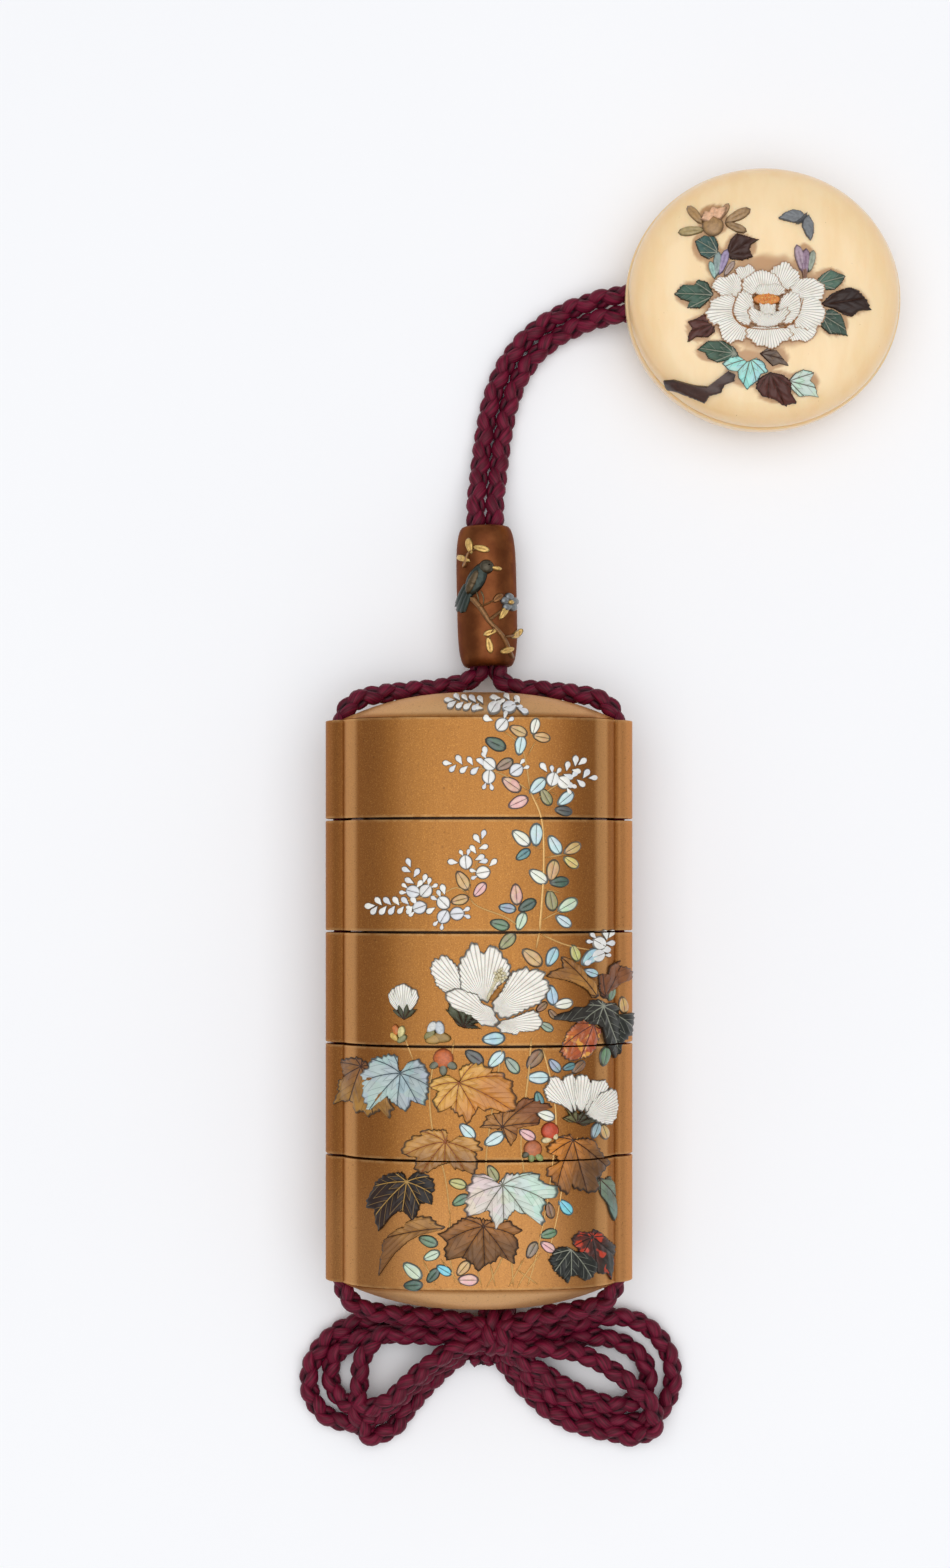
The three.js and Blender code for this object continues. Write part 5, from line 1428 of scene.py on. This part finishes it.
# finish, tint, middle, foot, outline; the finishes share their pieces
NETSUKE_LEAVES = (
    ("pale_veined", "#3f5c4c", (-10.6, -0.6), (-8, -0.8), ((-13.9, -0.5), (-12.6, 0.9), (-10.9, 0.8),
     (-10.4, 1.6), (-8.9, 1.2), (-8, -0.6), (-8.8, -1.6), (-10, -2.7), (-12, -2.6), (-11.6, -1.7),
     (-12.8, -1.3))),
    ("brown_horn", "#5a3028", (-10, -5.6), (-8, -5), ((-11.9, -4.6), (-10.4, -4.1), (-9.3, -3.4),
     (-8, -4.6), (-7.8, -6.2), (-8.9, -7), (-10.6, -6.9), (-11.9, -7.8), (-11.7, -6.4), (-11.2, -5.6))),
    ("pale_veined", "#43604e", (-7.4, -9), (-5, -9.4), ((-10.5, -8.8), (-8.9, -7.5), (-6.6, -7.5),
     (-4.8, -8.6), (-4.2, -9.8), (-5.6, -10.3), (-7.4, -10.7), (-8.8, -10.1), (-9.3, -9.2))),
    ("brown_horn", "#7a6a5e", (1, -9.9), (-1, -9.4), ((-1.2, -9.4), (0, -8.6), (1.4, -9), (2.2, -10),
     (3.4, -11.3), (1.8, -10.9), (0.8, -11.3), (-0.2, -10.4))),
    ("pale_shell", "#a4dcd2", (-3, -11.8), (-2.6, -10.2), ((-6.8, -10.9), (-5.8, -10), (-4.4, -9.7),
     (-3, -10.6), (-1.6, -10), (-0.5, -10.7), (0.2, -12.2), (-0.9, -12.4), (-1.4, -13.4), (-2.4, -14.1),
     (-3, -14.7), (-3.5, -13.9), (-4.3, -12.9), (-4.4, -12), (-5.6, -11.9))),
    ("brown_horn", "#54281f", (1.4, -14.2), (0.4, -12.2), ((-1.4, -13.1), (0.4, -12.1), (2.4, -12.5),
     (3.8, -13.6), (3.6, -15), (4.6, -16.4), (2.6, -16.9), (1.2, -16), (-0.6, -15.6), (-1.7, -14.4))),
    ("pale_shell", "#c2dacb", (5.2, -13.8), (3.3, -13.4), ((3.1, -13.4), (4.2, -12.2), (5.4, -11.7),
     (7.1, -12.1), (6.4, -13.2), (7.2, -13.9), (7.8, -15.6), (6.4, -15.4), (4.9, -15.6), (3.7, -14.6))),
    ("pale_veined", "#3f574a", (10, -4.8), (8, -3.6), ((7.6, -3), (9.6, -2.8), (11, -3.6), (11.4, -4.6),
     (12, -6.7), (10.4, -6.5), (9.2, -6.5), (7.8, -5.3))),
    ("brown_horn", "#2e1b15", (11.6, -1.6), (8.2, -2.2), ((7.8, -2.2), (9.4, -0.6), (10.6, 0), (12.2, 0.5),
     (13.5, 0.1), (14.8, -1.2), (15.6, -2.8), (13.8, -2.9), (12.6, -3.9), (11.4, -3.6), (10, -2.8))),
    ("pale_veined", "#547060", (9.2, 1.4), (7.4, 0.9), ((7, 1.2), (8.2, 2.4), (9.4, 3.1), (10.4, 2.6),
     (11.7, 2.2), (11, 1), (10, 0.1), (8.6, 0), (7.2, 0.3))),
    ("brown_horn", "#41251d", (-4.3, 6.4), (-5.8, 5.4), ((-6.2, 5.6), (-5.5, 7.6), (-4.6, 8.5), (-3, 8),
     (-1.2, 7.5), (-2.4, 6.8), (-2.7, 6.1), (-2.2, 4.9), (-3.8, 4.4), (-5.6, 4.6))),
    ("pale_veined", "#41605a", (-9, 6.6), (-7.4, 5.6), ((-10.8, 7.4), (-9.4, 8.2), (-7.8, 8), (-7.3, 6.8),
     (-7.4, 5.3), (-8.8, 4.6), (-9.9, 5.2), (-10.4, 6.2))),
)
# middle, foot, height and outline of each petal, the lowest first
PEONY = (
    ((-6.2, 0.6), (-3.5, -1.5), 0.8, ((-8.5, 0.4), (-8.1, 1.2), (-7.3, 2), (-6.2, 1.9), (-5.2, 2.6),
     (-4.2, 2.3), (-3.6, 0.6), (-4, -1.4), (-7, -0.9))),
    ((-3.4, 2.6), (-2.5, 0), 0.75, ((-4.9, 3), (-4.3, 3.5), (-3.5, 3.4), (-2.8, 3.9), (-2.2, 3.5),
     (-1.7, 2.8), (-2.4, 1.2), (-4.2, 1.4))),
    ((2.6, 1.8), (1, -1), 0.9, ((0.2, 2.6), (0.9, 3.6), (1.6, 3.7), (2.2, 4.3), (3.2, 4), (3.8, 3.2),
     (4.6, 2.8), (4.9, 1.6), (3.6, 0), (1.2, -0.2))),
    ((6, 0.2), (2.5, -1.5), 1, ((3.2, 0.2), (4, 1.4), (5.6, 1.8), (7, 1.7), (7.8, 1.1), (8.5, 0.7),
     (8.5, -0.4), (8.1, -1.6), (5.6, -1.6), (3.4, -1.2))),
    ((5.2, -6.4), (2.5, -4), 0.8, ((2.6, -5.2), (5.2, -5), (7.4, -5.4), (7.3, -6.4), (6.7, -7.2),
     (5.7, -7.8), (4.7, -7.5), (3.6, -7.7), (2.6, -7))),
    ((6.4, -3.4), (2.5, -3), 1.05, ((4.9, -1.2), (6.4, -0.8), (7.8, -1.5), (8.2, -2.4), (8.7, -3.2),
     (8.4, -4.4), (7.8, -5.4), (6, -6.1), (3.8, -5.6), (4.2, -3.4))),
    ((-5.4, -6), (-2.5, -3.5), 0.85, ((-7.7, -4.2), (-5.4, -3.8), (-3, -5), (-3, -6.8), (-3.6, -7.7),
     (-4.6, -7.5), (-5.6, -8.1), (-6.8, -7.3), (-7.1, -6.2))),
    ((-6.8, -3), (-3, -3), 1, ((-7, -0.8), (-8.6, -1.6), (-8.7, -2.6), (-9.4, -3.4), (-8.9, -4.6),
     (-8.1, -5.3), (-6, -5), (-4.6, -4.4), (-4.4, -1.8), (-5.2, -0.6))),
    ((0.3, -6.9), (0, -3.5), 1, ((-3.2, -5.6), (0, -5.2), (3.2, -5.7), (3.9, -6.6), (3.1, -7.6),
     (2.1, -7.8), (1.5, -8.5), (0.5, -8.9), (-0.5, -8.4), (-1.6, -8.4), (-2.5, -7.6), (-3.4, -7))),
    ((-1.2, 1.2), (-0.5, -2), 1.15, ((-4, 0.4), (-3.7, 1.6), (-2.8, 2.1), (-2, 2.7), (-0.8, 3), (0.3, 2.6),
     (1.3, 2.2), (1.9, 1.2), (2.4, -0.4), (-1, -0.6), (-3.4, -1))),
    ((-4, -2.8), (-1, -4), 1.35, ((-3.6, 0), (-4.5, -0.6), (-5, -2), (-5.2, -3.4), (-4.6, -4.8),
     (-3, -5.6), (-1.8, -4.4), (-2, -2.2), (-2.3, -0.8))),
    ((3.4, -2.6), (0.6, -4), 1.35, ((2.4, -0.7), (3.4, -0.2), (4.6, -0.6), (5, -2.2), (4.6, -3.9),
     (3.4, -5.2), (1.6, -5.2), (1.4, -2.8), (1.8, -1.4))),
    ((0.3, 0), (-0.2, -2.5), 1.5, ((-2, -0.5), (-2, 0.3), (-1.1, 0.8), (0, 0.6), (0.9, 0.9), (1.8, 0.7),
     (2.6, 0.2), (2.7, -0.6), (1, -1.2), (-1.4, -1.1))),
    ((-0.2, -3), (-0.1, -5), 1.75, ((-1.4, -2), (-0.7, -2.3), (-0.1, -2), (0.5, -2.3), (1.2, -2.1),
     (1.2, -3.9), (-1.2, -3.9))),
    ((0, -4.4), (0, -6), 2, ((-3.2, -3), (-2.5, -2.6), (-2, -3.3), (-1.2, -3.2), (-0.8, -3.9), (0.1, -3.6),
     (0.9, -4), (1.4, -3.2), (2.3, -3.3), (2.9, -2.6), (3.3, -3.3), (2.5, -4.7), (1.2, -5.5), (0, -5.7),
     (-1.5, -5.5), (-2.7, -4.7))),
)
BUTTERFLY = (
    ((4, 11.1), (5.3, 10.7), ((1.5, 10.7), (2.6, 11.6), (3.8, 12.1), (5, 11.9), (5.8, 11.1), (5.2, 10.1),
     (3.8, 10.1), (2.6, 10.4))),
    ((6.2, 9.6), (5.6, 11), ((5.4, 11), (6.2, 11.3), (6.9, 10), (6.9, 8.6), (6.5, 7.3), (5.7, 8.2),
     (5.1, 9.6))),
)
NETSUKE_BRANCH = (
    (-15.4, -12.4), (-13.2, -12.9), (-10.6, -13.8), (-8, -14.1), (-6.6, -13), (-5.8, -11.9), (-4.8, -12.4),
    (-4.8, -13.4), (-6.3, -13.9), (-6.8, -15), (-8.4, -15.3), (-9, -16.2), (-10.6, -15.5), (-12.4, -14.7),
    (-14.4, -13.8),
)
STAINED = (
    (-0.3, -1.8, 8.8, 6.4), (-9.2, 6.6, 1.9, 2.1), (-4, 6.4, 2.2, 2), (9.2, 1.6, 2.2, 1.6),
    (-7.4, -9, 3, 1.6), (-2.6, -11.6, 3.4, 2.5), (1.4, -14.2, 2.8, 2.2), (5.4, -13.8, 2.2, 1.7),
    (1, -10, 2, 1.4), (5.6, 4.6, 1.4, 2.2), (-10.6, -0.6, 2.8, 1.9), (-10, -5.6, 2, 1.8),
    (11.4, -1.6, 3.6, 2), (10, -4.8, 2, 1.8), (-7.2, 4, 1.8, 2.2), (-8, 10.6, 2.2, 2.2),
)


def stain(x, y):
    """How much darker the face has gone round its inlays."""
    nearest = min(math.hypot((x - cx) / rx, (y - cy) / ry) for cx, cy, rx, ry in STAINED)
    return 1 - smooth_step(0.95, 1.25, nearest + 0.1 * wobble(x * 0.6, y * 0.6))


def netsuke_half(name, rings):
    """One half of the netsuke, from rings of radius and height."""
    bm = new_bmesh()
    mark = bm.verts.layers.float["mark"]

    def place(u, v, corner):
        reach, z = rings[round(v * (len(rings) - 1))]
        across, along = on_ring((0, 0), 2 * math.pi * u, reach, reach * TOGGLE_OVAL)
        # mark rises towards the rim, where the bone is painted warmer as shade on its rounded side
        corner[mark] = smooth_step(0.8, 1.0, reach / TOGGLE_RADIUS)
        if z > TOGGLE_SEAM[0] + 2:
            corner[mark] -= stain(across, along)
        return Vector((TOGGLE.x + across, TOGGLE.y + along, z))
    patch(bm, 128, len(rings) - 1, place)
    return finish_piece(name, bm, made("polished_bone"), "ivory_coloured_body", [name], crease=30)


def make_netsuke():
    """Both halves of the netsuke, the mouth for the cord and the inlays."""
    flat, top = TOGGLE_SEAM[1], TOGGLE_SEAM[0]
    front = [(0, flat), (10, flat), (TOGGLE_RADIUS - 0.6, flat), (TOGGLE_RADIUS - 0.42, flat + 0.06),
             (TOGGLE_RADIUS - TOGGLE_LIP, flat + 0.2)]
    for i in range(1, 64):
        reach = (TOGGLE_RADIUS - TOGGLE_LIP) * (1 - (i / 64) ** 2.2)
        front.append((reach, toggle_height(reach, 0)))
    netsuke_half("netsuke_front_half", front + [(0, TOGGLE_TOP)])
    back = [(0, 0), (8, 0), (TOGGLE_FOOT, 0)]
    for i in range(1, 22):
        t = math.pi / 2 * i / 22
        back.append((TOGGLE_FOOT + (TOGGLE_RADIUS - TOGGLE_FOOT) * math.sin(t) ** 0.75,
                     (top - 1.2) * (1 - math.cos(t)) ** 0.9))
    back += [(TOGGLE_RADIUS, top - 0.9), (TOGGLE_RADIUS - 0.06, top - 0.2), (TOGGLE_RADIUS - 0.3, top),
             (10, top), (0, top)]
    cut_slot(netsuke_half("netsuke_back_half", back))
    make_netsuke_inlays()


def cut_slot(half):
    """Cuts the mouth that both strands of the cord go into: a ball drawn long, with a flat middle."""
    bm = bmesh.new()
    bmesh.ops.create_uvsphere(bm, u_segments=40, v_segments=20, radius=1)
    for corner in bm.verts:
        x, y, z = corner.co
        beside = y * SLOT_ROUND + math.copysign(SLOT_FLAT, y) * (abs(y) > 1e-6)
        corner.co = Vector((TOGGLE.x - TOGGLE_RADIUS + SLOT_DEPTH * x, TOGGLE.y + beside,
                            SLOT_Z + SLOT_ROUND * z)) * MM
    bmesh.ops.recalc_face_normals(bm, faces=bm.faces)
    cut_away(half, bm, "slot")


PEONY_LEAFLETS = (
    (-8.2, 3, 105, 2.6, "#a5c7bd"), (-7.5, 3.9, 85, 3.6, "#97a8a4"), (-6.6, 4.2, 72, 3.8, "#a594b4"),
    (-5.7, 3.2, 55, 2.6, "#b09a90"), (4.8, 4.7, 102, 4, "#b199a6"), (5.6, 4.1, 86, 4, "#9a7f92"),
    (6.5, 4.3, 78, 3.2, "#a3ab9a"), (5.5, 2.4, 90, 2.2, "#8f6a58"),
)
BUD_LEAFLETS = (
    (-10.7, 11.5, 125, 3.4, "#b08a5a"), (-4.4, 11.2, 28, 4, "#a9855a"), (-4.7, 9.4, -22, 3.2, "#9c7a50"),
    (-11.3, 9, 185, 3.6, "#ac9664"), (-6.4, 11.9, 60, 2.6, "#b98f68"),
)
NETSUKE_BUD = (
    (-9.9, 10.6), (-9.3, 11.8), (-8.7, 11.6), (-8.1, 12.5), (-7.2, 12.1), (-6, 12.5), (-6.2, 11.4),
    (-7, 10.4), (-8, 10.9), (-8.8, 10.1),
)
PEONY_HEART = (
    (-3.9, -0.2), (-5, -2), (-5.2, -3.6), (-4.2, -5.1), (-2.4, -5.75), (0.2, -5.9), (2.6, -5.5), (4.5, -4),
    (5.1, -2), (5.3, -1.2),
)
ANTHERS = 34
ANTHER_TINTS = ("#e9a64a", "#f2cb74", "#e08a3a")
NETSUKE_LEAF_NODES = {"pale_veined": (1, 3, 8, 9, 12), "pale_shell": (4, 6, 10), "brown_horn": (2, 5, 7, 11)}


def make_netsuke_inlays():
    """The peony with its heart, bud, branch and leaves, and the butterfly."""
    lift = sizes().inlay / MM
    bm = new_bmesh()
    for i, (middle, foot, rise, points) in enumerate(PEONY):
        drawn_petal(bm, ON_TOGGLE, points, middle, foot, tuple(colours().white), lift * rise * 1.15,
                    cup=0.15, seed=i * 1.7, spokes=120, rings=12, frill=0.1)
    finish_piece("peony_petals", bm, made("peony_petal"), "white_inlay", ["peony_blossom"])

    def heart(x, y, k):
        return lift * 1.55, (x, y, 1)
    bm = new_bmesh()
    rng = random.Random(5)
    inlay(bm, ON_TOGGLE, (-0.2, -1.5), 0, blade(4.0, 1.9), heart, srgb("#d8822e"), spokes=40)
    for i in range(ANTHERS):
        out = 1.5 * (i / ANTHERS) ** 0.5
        tint = srgb(rng.choice(ANTHER_TINTS))
        at = on_ring((-0.2, -1.45), SPIRAL_TURN * i, out, 0.5 * out)
        knob(bm, ON_TOGGLE, at, 0.2, tint, lift * 1.85, spokes=8)
    ridge(bm, ON_TOGGLE, PEONY_HEART, 0.26, lift * 1.4, srgb("#b8732e"), taper=0.8)
    lay_leaflets(bm, ON_TOGGLE, PEONY_LEAFLETS, lift, width=0.34)
    knob(bm, ON_TOGGLE, (-8.1, 9.7), 1.6, srgb("#a98253"), lift * 1.1)
    drawn_petal(bm, ON_TOGGLE, NETSUKE_BUD, (-8.0, 11.4), (-8.0, 9.4), srgb("#e8b48c"), lift * 1.5,
                spokes=60, rings=8)
    lay_leaflets(bm, ON_TOGGLE, BUD_LEAFLETS, lift * 0.8, width=0.4)
    drawn_petal(bm, ON_TOGGLE, NETSUKE_BRANCH, (-9.2, -14.4), (-15, -12), srgb("#42251c"), lift * 1.1,
                spokes=110, rings=8, frill=0.03)
    for middle, foot, points in BUTTERFLY:
        drawn_petal(bm, ON_TOGGLE, points, middle, foot, srgb("#74777a"), lift * 0.9, spokes=60, rings=10)
    ridge(bm, ON_TOGGLE, [(4.2, 9.9), (5.2, 10.6), (5.9, 11.5)], 0.6, lift * 1.3, srgb("#4d4f52"), taper=1.0)
    finish_piece("netsuke_small_inlays", bm, made("small_raised"), "amber_inlay",
                 ["netsuke_bud", "netsuke_branch", "netsuke_butterfly"])

    groups = {}
    for i, (finish, tint, middle, foot, points) in enumerate(NETSUKE_LEAVES):
        bm = groups.setdefault(finish, new_bmesh())
        aim = math.degrees(math.atan2(middle[1] - foot[1], middle[0] - foot[0]))
        drawn_leaf(bm, ON_TOGGLE, points, middle, foot, aim, srgb(tint), lift * 0.9, fan=34, seed=i,
                   spokes=84, rings=12)
    for finish, bm in groups.items():
        slot = "shell_inlay" if finish == "pale_shell" else "green_inlay"
        finish_piece("netsuke_leaves_" + finish, bm, made(finish), slot,
                     [f"netsuke_leaf_{i}" for i in NETSUKE_LEAF_NODES[finish]])


# ---- The cord ----------------------------------------

# the line midway between the two strands, from inside the netsuke to the top of the inro
DOUBLE_RUN = (
    (27.6, 105.9, 5), (22.3, 105.9, 4.9), (17.6, 105.2, 3.2), (12.6, 103.4, 1.7), (8.2, 100.2, 1.5),
    (5.2, 96.2, 1.5), (3.3, 91.4, 1.5), (2.2, 86, 1.5), (1.5, 80.4, 2.4), (1, 75.6, 4.1),
    (0.97, 72.2, 4.5), (1.08, 67, 4.5), (1.32, 55.4, 4.5), (1.43, 50.4, 4.5), (1.45, 49.4, 4.6),
)
STRAND_APART = 1.44
# from there to the runner on the right; the left strand mirrors it
SHOULDER_RUN = (
    (4.6, 47.5, 5.6), (9.4, 46.8, 7.4), (14.2, 46.1, 9.8), (17.6, 45.3, 11.4), (19.7, 43.9, 12),
    (20.5, 41.8, 12),
)
# from the foot of each runner through the loops of the bow to the knot
BOW_FROM_LEFT = (
    (-19.9, -44.4, 11.5), (-17.8, -46.4, 10.4), (-14.2, -47.5, 9.2), (-10.2, -47.9, 8.2),
    (-5.6, -48.5, 7.2), (-1, -49.4, 6.6), (3.6, -50.6, 6), (8.4, -51, 4.9), (13.2, -50.4, 3.2),
    (17.6, -49.4, 1.9), (21.6, -49.2, 1.5), (25.2, -50.3, 1.5), (28, -52.8, 1.5), (29.6, -56.2, 1.5),
    (29.7, -59.8, 1.5), (28.4, -63, 1.5), (25.6, -65, 1.5), (21.8, -65.4, 1.5), (17.6, -64.4, 1.6),
    (13, -62.2, 1.9), (8.6, -58.8, 2.6), (5, -55, 3.4), (1.2, -51.8, 3.8), (-4, -50.2, 3.2),
    (-9.4, -49.5, 2.2), (-14.6, -49.4, 1.5), (-19.4, -50.3, 1.5), (-23.4, -52.8, 1.5), (-25.8, -56.6, 1.5),
    (-26, -60.6, 1.5), (-24, -64, 1.5), (-20.4, -65.5, 1.6), (-16.4, -64.6, 2.6), (-12.4, -61.4, 3.8),
    (-7.8, -57.2, 3.8), (-3, -54.2, 3.4), (2.6, -52.8, 3.2), (8.4, -52.9, 2.6), (14, -52.6, 1.6),
    (19.2, -52.4, 1.5), (23.4, -54, 1.5), (25.9, -57.2, 1.5), (25.4, -60.8, 1.7), (21.8, -62.6, 2.4),
    (17.2, -61.6, 3), (12.4, -59, 3.4), (7.4, -55.8, 4.2), (3.2, -53, 4.6),
)
BOW_FROM_RIGHT = (
    (19.9, -44.2, 11.5), (17.8, -46, 10.4), (13.8, -47.1, 9.2), (9.6, -47.9, 8.2), (5.4, -49.4, 7.4),
    (1, -50.8, 6.6), (-4.4, -51.5, 5.4), (-10, -51.6, 4.2), (-15.6, -51.7, 3.6), (-20.4, -53.4, 2.6),
    (-22.8, -57, 1.6), (-21.9, -61, 1.6), (-18.2, -62.9, 3.4), (-13.8, -61.4, 5.6), (-9.8, -57.6, 6.4),
    (-5, -54, 6.4), (0.4, -52.4, 6.2), (5.6, -53.2, 5.8), (10.6, -53.6, 4.8), (15.2, -54.4, 4),
    (19.8, -56.6, 4), (23.8, -59.6, 4.2), (26.6, -62.8, 4.2), (26.7, -66, 3.2), (23.8, -67.6, 1.8),
    (19.8, -66.9, 1.5), (15.4, -65.9, 1.5), (10.8, -63.6, 1.6), (6.6, -59.6, 1.6), (3.2, -55.4, 1.8),
    (-0.8, -52.4, 2.2), (-6, -51.4, 3.6), (-11.4, -50.9, 4.4), (-15.6, -52, 4.4), (-17.9, -55.4, 4.2),
    (-18.3, -59.6, 3.6), (-18.6, -64, 3.2), (-17, -67.4, 1.9), (-13.6, -66.6, 1.5), (-10.2, -62.4, 1.5),
    (-6.2, -58, 1.6), (-2.2, -54.6, 2.2), (1.6, -52.6, 2.8),
)


def strand_route(side):
    """The points of one whole cord; side is -1 for the left one and 1 for the right one."""
    points = [Vector(p) for p in DOUBLE_RUN]
    route = []
    for i, point in enumerate(points):
        along = points[min(i + 1, len(points) - 1)] - points[max(i - 1, 0)]
        along.z = 0
        along.normalize()
        apart = side * STRAND_APART
        route.append(point + Vector((-along.y, along.x, 0)) * apart)
    route += [Vector((side * x, y, z)) for x, y, z in SHOULDER_RUN]
    route += [Vector((side * 20.5, y, 12)) for y in (38, 20, 0, -20, -38, -42.3)]
    route += [Vector(p) for p in (BOW_FROM_LEFT if side < 0 else BOW_FROM_RIGHT)]
    return route


# of the cord's thickness: a strand's way out from the middle, its sway, and half its width and depth
STRAND_SHARES = (0.17, 0.09, 0.34, 0.25)


def braid(bm, path, around=10):
    """Four strands plaited round a path of evenly spaced points: two turn one way and two the other."""
    local, mark = bm.verts.layers.float_vector["local"], bm.verts.layers.float["mark"]
    thick = sizes().cord / MM
    lead, sway, wide, deep = (share * thick for share in STRAND_SHARES)
    last = len(path) - 1
    frames, walked = [], [0.0]
    for i, here in enumerate(path):
        along = (path[min(i + 1, last)] - path[max(i - 1, 0)]).normalized()
        up = Vector((0, 0, 1)) if abs(along.z) < 0.95 else Vector((1, 0, 0))
        side = along.cross(up).normalized()
        frames.append((here, side, side.cross(along)))
        if i:
            walked.append(walked[-1] + (here - path[i - 1]).length)
    pace = math.pi / (sizes().plait / MM)
    for strand in range(4):
        way = 1 if strand < 2 else -1
        first = math.pi * (strand % 2) + math.pi / 4

        def line(i):
            here, side, up = frames[i]
            phase = pace * walked[i]
            turn = way * phase - 0.18 * math.sin(2 * phase) + first
            reach = lead + way * sway * math.cos(2 * phase)
            outward = side * math.cos(turn) + up * math.sin(turn)
            return here + outward * reach, outward

        middles = [line(i) for i in range(last + 1)]

        def place(u, v, corner):
            i = round(v * last)
            middle, outward = middles[i]
            forward = (middles[min(i + 1, last)][0] - middles[max(i - 1, 0)][0]).normalized()
            beside = forward.cross(outward).normalized()
            outward = beside.cross(forward)
            turn = 2 * math.pi * u
            end = 0 if i in (0, last) else 0.84 + 0.2 * way * math.cos(2 * pace * walked[i])
            point = middle + end * (beside * wide * math.cos(turn) + outward * deep * math.sin(turn))
            corner[local] = (walked[i] * 0.35, 3.2 * math.cos(turn), 3.2 * math.sin(turn) + 9 * strand)
            # how far out from the cord's middle this point lies, which the silk turns into painted shade in
            # the gaps
            corner[mark] = ((point - frames[i][0]).length - 0.24 * thick) / (0.22 * thick)
            return point
        patch(bm, around, last, place)


def make_cords():
    """Both cords, each one braid from the netsuke through its runner to the bow, and the knot."""
    silk = made("braided_silk")
    knot = make_knot(silk)
    riders = [bpy.data.objects[name] for name in ("ojime_bead", "ojime_bird", "ojime_branch")]
    for name, side, pieces in (("cord_left", -1, []), ("cord_right", 1, [*riders, knot])):
        path = smooth_path(strand_route(side), 0.36)
        bm = new_bmesh()
        braid(bm, path)
        nodes = [name + "_upper", name + "_runner"] + (["cord_bow"] if side > 0 else [])
        piece = finish_piece(name, bm, silk, "silk_cord", nodes, crease=80)
        length = sum((b - a).length for a, b in zip(path, path[1:]))
        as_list(pieces)


KNOT = (-50.6, 4.5)  # y and z of its middle
KNOT_RADIUS = 2.8
# x, y, z and aim of the ends below the knot
TUFT = ((-0.6, -55.4, 2.6, 200), (0.8, -55.9, 2.4, -90), (2.2, -55.6, 2.8, -60), (0.6, -55.0, 3.6, -110))


def make_knot(silk):
    """The turns of cord that bind the bow, and the short tuft of ends below them."""
    bm = new_bmesh()
    for x, lean in ((1.5, 0.3), (4.1, -0.3)):
        turns = [2 * math.pi * i / 44 for i in range(46)]
        braid(bm, [Vector((x + lean * math.sin(t), *on_ring(KNOT, t, KNOT_RADIUS, KNOT_RADIUS)))
                   for t in turns], around=12)
    for x, y, z, aim in TUFT:
        turn = math.radians(aim)
        start = Vector((x - 1.2 * math.cos(turn), y - 1.2 * math.sin(turn) + 0.8, z))
        end = Vector((*on_ring((x, y), turn, 1.0, 0.6), z - 0.5))
        braid(bm, [start.lerp(end, i / 8) for i in range(9)])
    return finish_piece("cord_knot", bm, silk, "silk_cord", crease=80)


# ---- The add-on --------------------------------------

def maker(work):
    """An operator class that runs one of the functions above."""
    def execute(self, context):
        work()
        return {"FINISHED"}
    idname = work.__name__.removeprefix("make_")
    return type("INRO_OT_" + idname, (bpy.types.Operator,), {
        "bl_idname": "inro." + idname, "bl_label": "Make the " + idname.replace("_", " "),
        "__doc__": work.__doc__, "bl_options": {"REGISTER", "UNDO"}, "execute": execute})


OPERATORS = tuple(maker(work) for work in (
    make_stage, make_bead, make_cords, make_sections, make_leaves, make_blossoms, make_small_inlays,
    make_netsuke))


class INRO_PT_panel(bpy.types.Panel):
    """Settings and makers of the inro"""
    bl_label = "Inro"
    bl_idname = "INRO_PT_panel"
    bl_space_type = "VIEW_3D"
    bl_region_type = "UI"
    bl_category = "Inro"

    def draw(self, context):
        for group in (context.scene.inro_sizes, context.scene.inro_colours):
            for key in group.__annotations__:
                self.layout.prop(group, key)
        for operator in OPERATORS:
            self.layout.operator(operator.bl_idname)


CLASSES = (InroSizes, InroColours, *OPERATORS, INRO_PT_panel)


def register():
    for cls in CLASSES:
        bpy.utils.register_class(cls)
    bpy.types.Scene.inro_sizes = PointerProperty(type=InroSizes)
    bpy.types.Scene.inro_colours = PointerProperty(type=InroColours)


def unregister():
    del bpy.types.Scene.inro_colours
    del bpy.types.Scene.inro_sizes
    for cls in reversed(CLASSES):
        bpy.utils.unregister_class(cls)


def main():
    register()
    for operator in OPERATORS:
        name = operator.bl_idname.split(".")[1]
        getattr(bpy.ops.inro, name)()


if __name__ == "__main__":
    main()
